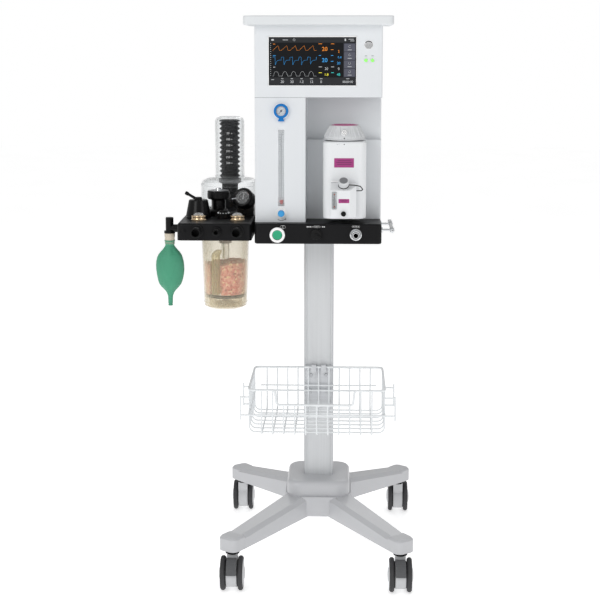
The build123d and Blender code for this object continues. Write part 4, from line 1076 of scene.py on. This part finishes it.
for r0, r1, z0, z1 in ((38.5, 39.7, 610, 632), (22, 23.5, 610, 618), (8, 9.5, 610, 622)):
    foot_ring.lathe([(r0, z0), (r0, z1), (r0 + 0.4, z1 + 0.5), (r1 - 0.4, z1 + 0.5), (r1, z1), (r1, z0),
                     (r0, z0)],
                    (CX, CY, 0), seg=72)
for i in range(6):
    a = TAU * (i + 0.25) / 6
    way = Vector((math.cos(a), math.sin(a), 0))
    side_way = Vector((-way.y, way.x, 0))
    c = Vector((CX, CY, 0))
    pts = [c + way * r + side_way * s + Vector((0, 0, z)) for r in (9.6, 38.4) for s in (-0.7, 0.7)
           for z in (610.2, 617)]
    foot_ring.add(pts, [(0, 1, 3, 2), (4, 6, 7, 5), (0, 4, 5, 1), (2, 3, 7, 6), (0, 2, 6, 4), (1, 5, 7, 3)])
foot_ring.done("canister_web", "canister", body="canister", slot="canister_clear", smooth=50)
collar = Piece()
for r, z in ((59.1, 781), (51.9, 620), (49.7, 612)):
    torus = hoop(r, z, 0.6, 8)
    collar.lathe(torus, (CX, CY, 0), seg=96)
collar.done("canister_beads", "canister", body="canister", slot="canister_clear", smooth=70)

ret = Piece()
ret_path = [(RX, RY, z) for z in (640.2, 660, 680, 700, 718, 730)]
bend = [(RX + 9 - 9 * math.cos(t), RY + 3 * math.sin(t / 2), 730 + 11 * math.sin(t))
        for t in [math.pi * 0.62 * i / 12 for i in range(1, 13)]]
spine = [Vector(p) for p in ret_path + bend]
radii = [10.2] * len(ret_path) + [10.2 - 3.4 * (i / 12) ** 1.5 for i in range(1, 13)]
ret.tube(spine, radii, 28)
ret_obj = ret.done("return_tube_body", "yellow_tube", body="canister", slot="tube_clear", smooth=60)
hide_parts("canister_handle")
bands = Piece()
for i in range(6):
    t = math.pi * 0.62 * (i + 0.6) / 6.2
    c = Vector((RX + 9 - 9 * math.cos(t), RY + 3 * math.sin(t / 2), 730 + 11 * math.sin(t)))
    way = Vector((9 * math.sin(t), 0, 11 * math.cos(t))).normalized()
    r = 10.4 - 3.4 * ((i + 0.6) / 6.2) ** 1.5
    torus = hoop(r, 0, 0.8, 8)
    bands.lathe(torus, c, way, 28)
bands.done("return_tube_bands", "yellow_tube", body="canister", slot="tube_clear", smooth=70)
flutes = Piece()
for i in range(8):
    a = TAU * i / 8
    flutes.tube([(RX + 8.3 * math.cos(a), RY + 8.3 * math.sin(a), 641), (RX + 8.3 * math.cos(a),
                 RY + 8.3 * math.sin(a), 729)], 0.8, 8)
flutes.done("return_tube_flutes", "yellow_tube", body="canister", slot="tube_clear", smooth=70)
turned("tube_collar", simple("collar_grey", rgb(112, 104, 104), rough=0.4, metal=0.3),
       [(10.4, 761.6), (14.4, 761.6), (15.2, 762.6), (15.4, 767), (15.0, 772.8), (14.2, 774.4),
        (10.4, 774.4)], (CX, CY, 0), seg=64, slot="port_black")

# ---- breathing bag ----------------------------------------------------
BAGX, BAGY = -349.0, -110.0
skin_green = Finish("bag_latex", rgb(66, 150, 117), rough=0.62, drift=0.05, drift_scale=14, grain=700,
                    relief=0.2,
                    depth=0.0003)
skin_green.shader.inputs["Sheen Weight"].default_value = 0.15
skin_green.shader.inputs["Subsurface Weight"].default_value = 0.08
skin_green.shader.inputs["Subsurface Radius"].default_value = (0.004, 0.006, 0.004)
M["bag"] = skin_green.done()
RINGS = ((779.6, 11.8, 11.8), (772, 11.0, 11.0), (766, 10.5, 10.5), (761, 13.6, 12.2), (757, 17.0, 14.4),
         (750, 23.4, 17.4), (744, 27.4, 19.8), (738, 29.8, 21.3), (728, 32.0, 23.1), (719, 32.8, 23.6),
         (709, 32.8, 23.7), (700, 31.8, 23.0), (690, 30.0, 21.8), (682, 28.0, 20.4), (675, 25.2, 18.6),
         (669, 20.8, 16.0), (664, 16.1, 13.2), (658, 11.0, 9.8), (653, 7.8, 7.2), (645, 5.4, 5.4),
         (636, 5.0, 5.0), (628, 4.9, 4.9), (626.2, 3.4, 3.4))


def spread(z):
    """Half widths of the bag at a height, smoothed between the stations."""
    for (z0, a0, b0), (z1, a1, b1) in zip(RINGS, RINGS[1:]):
        if z0 >= z >= z1:
            t = (z0 - z) / (z0 - z1)
            t = t * t * (3 - 2 * t) * 0.35 + t * 0.65
            return a0 + (a1 - a0) * t, b0 + (b1 - b0) * t
    return RINGS[-1][1:]


bag = Piece()
SEG, STEPS = 96, 120
grid = []
for j in range(STEPS + 1):
    z = 779.5 - (779.5 - 626.2) * j / STEPS
    rx, ry = spread(z)
    full = max(0.0, (rx - 13.6) / 19.3) if 650 < z < 765 else 0.0
    for k in range(SEG):
        a = TAU * k / SEG
        c, s = math.cos(a), math.sin(a)
        crease = noise.noise(Vector((c * 1.6, s * 1.6, z * 0.022))) * 1.5
        neck = 0.0
        if 736 < z < 768:
            neck = 0.75 * math.cos(9 * a + 0.7 * math.sin(3 * a)) * math.sin(math.pi * (768 - z) / 32) ** 2
        if 650 < z < 690:
            neck = 0.55 * math.cos(7 * a + 1.1) * math.sin(math.pi * (690 - z) / 40) ** 2
        seam = 0.55 * math.exp(-((abs(c) - 1.0) / 0.0035) ** 2)
        fold = -0.7 * full * math.exp(-((a - 4.3 + 0.010 * (z - 700)) / 0.10) ** 2)
        fold -= 0.5 * full * math.exp(-((a - 5.2 - 0.012 * (z - 715)) / 0.08) ** 2)
        lift = full * crease + neck + (seam if z < 766 else 0) + fold
        grid.append((BAGX + (rx + lift) * c, BAGY + (ry + lift) * s, z + 0.4 * full * math.sin(2 * a)))
faces = [(SEG * j + k, SEG * j + (k + 1) % SEG, SEG * j + SEG + (k + 1) % SEG, SEG * j + SEG + k)
         for j in range(STEPS) for k in range(SEG)]
bag.add(grid, faces + [tuple(SEG * STEPS + k for k in range(SEG))])
bag_obj = bag.done("bag_skin", "bag", body="bag", slot="bag_green", smooth=80)
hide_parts("breathing_bag")
bead = Piece()
for z, r, t in ((778.2, 11.9, 0.9), (764.6, 10.8, 0.6)):
    torus = hoop(r, z, t, 12)
    bead.lathe(torus, (BAGX, BAGY, 0), seg=64)
bead.lathe([(4.6, 626.5), (5.3, 625.6), (5.5, 624.4), (5.0, 623.2), (3.0, 622.9), (0, 622.9)],
           (BAGX, BAGY, 0), seg=40)
bead.done("bag_beads", "bag", body="bag", slot="bag_green", smooth=70)
rings = Piece()
for z in (779.5, 775.0, 771.4):
    torus = hoop(11.75, z, 0.5, 8)
    rings.lathe(torus, (BAGX, BAGY, 0), seg=48)
rings.done("connector_rings", "beige", body="bag", slot="connector_beige", smooth=70)

# ---- stage, lights, finish --------------------------------------------
floor_finish = Finish("floor_paper", rgb(250, 250, 250), rough=0.8, drift=0.01, drift_scale=2, grain=60,
                      relief=0.02,
                      glow=0.52)
M["floor"] = floor_finish.done()
ground = bpy.data.meshes.new("floor")
ground.from_pydata([(-12, -8, 0), (12, -8, 0), (12, 14, 0), (-12, 14, 0)], [], [(0, 1, 2, 3)])
ground.materials.append(M["floor"])
floor = bpy.data.objects.new("floor", ground)
bpy.context.scene.collection.objects.link(floor)


def softbox(name, place, aim, width, height, power):
    light = bpy.data.lights.new(name, "AREA")
    light.shape = "RECTANGLE"
    light.size = width
    light.size_y = height
    light.energy = power
    obj = bpy.data.objects.new(name, light)
    bpy.context.scene.collection.objects.link(obj)
    obj.location = place
    obj.rotation_euler = (Vector(aim) - Vector(place)).to_track_quat("-Z", "Y").to_euler()
    return obj


softbox("key_box", (-1.9, -3.2, 2.6), (0, 0, 0.8), 1.8, 2.4, 46)
softbox("fill_box", (2.6, -2.4, 1.6), (0, 0, 0.7), 1.6, 2.4, 14)
softbox("back_box", (0.4, 2.6, 2.6), (0, 0, 0.8), 2.4, 1.6, 20)
world = bpy.data.worlds.new("studio")
bpy.context.scene.world = world
world.use_nodes = True
sky = world.node_tree
ambient = sky.nodes["Background"]
ambient.inputs[0].default_value = (1, 1, 1, 1)
ambient.inputs[1].default_value = 0.52
sweep = sky.nodes.new("ShaderNodeBackground")
sweep.inputs[0].default_value = (1, 1, 1, 1)
sweep.inputs[1].default_value = 1.0
seen = sky.nodes.new("ShaderNodeLightPath")
either = sky.nodes.new("ShaderNodeMixShader")
sky.links.new(seen.outputs["Is Camera Ray"], either.inputs[0])
sky.links.new(ambient.outputs[0], either.inputs[1])
sky.links.new(sweep.outputs[0], either.inputs[2])
sky.links.new(either.outputs[0], sky.nodes["World Output"].inputs[0])
bpy.context.scene.view_settings.view_transform = "Standard"
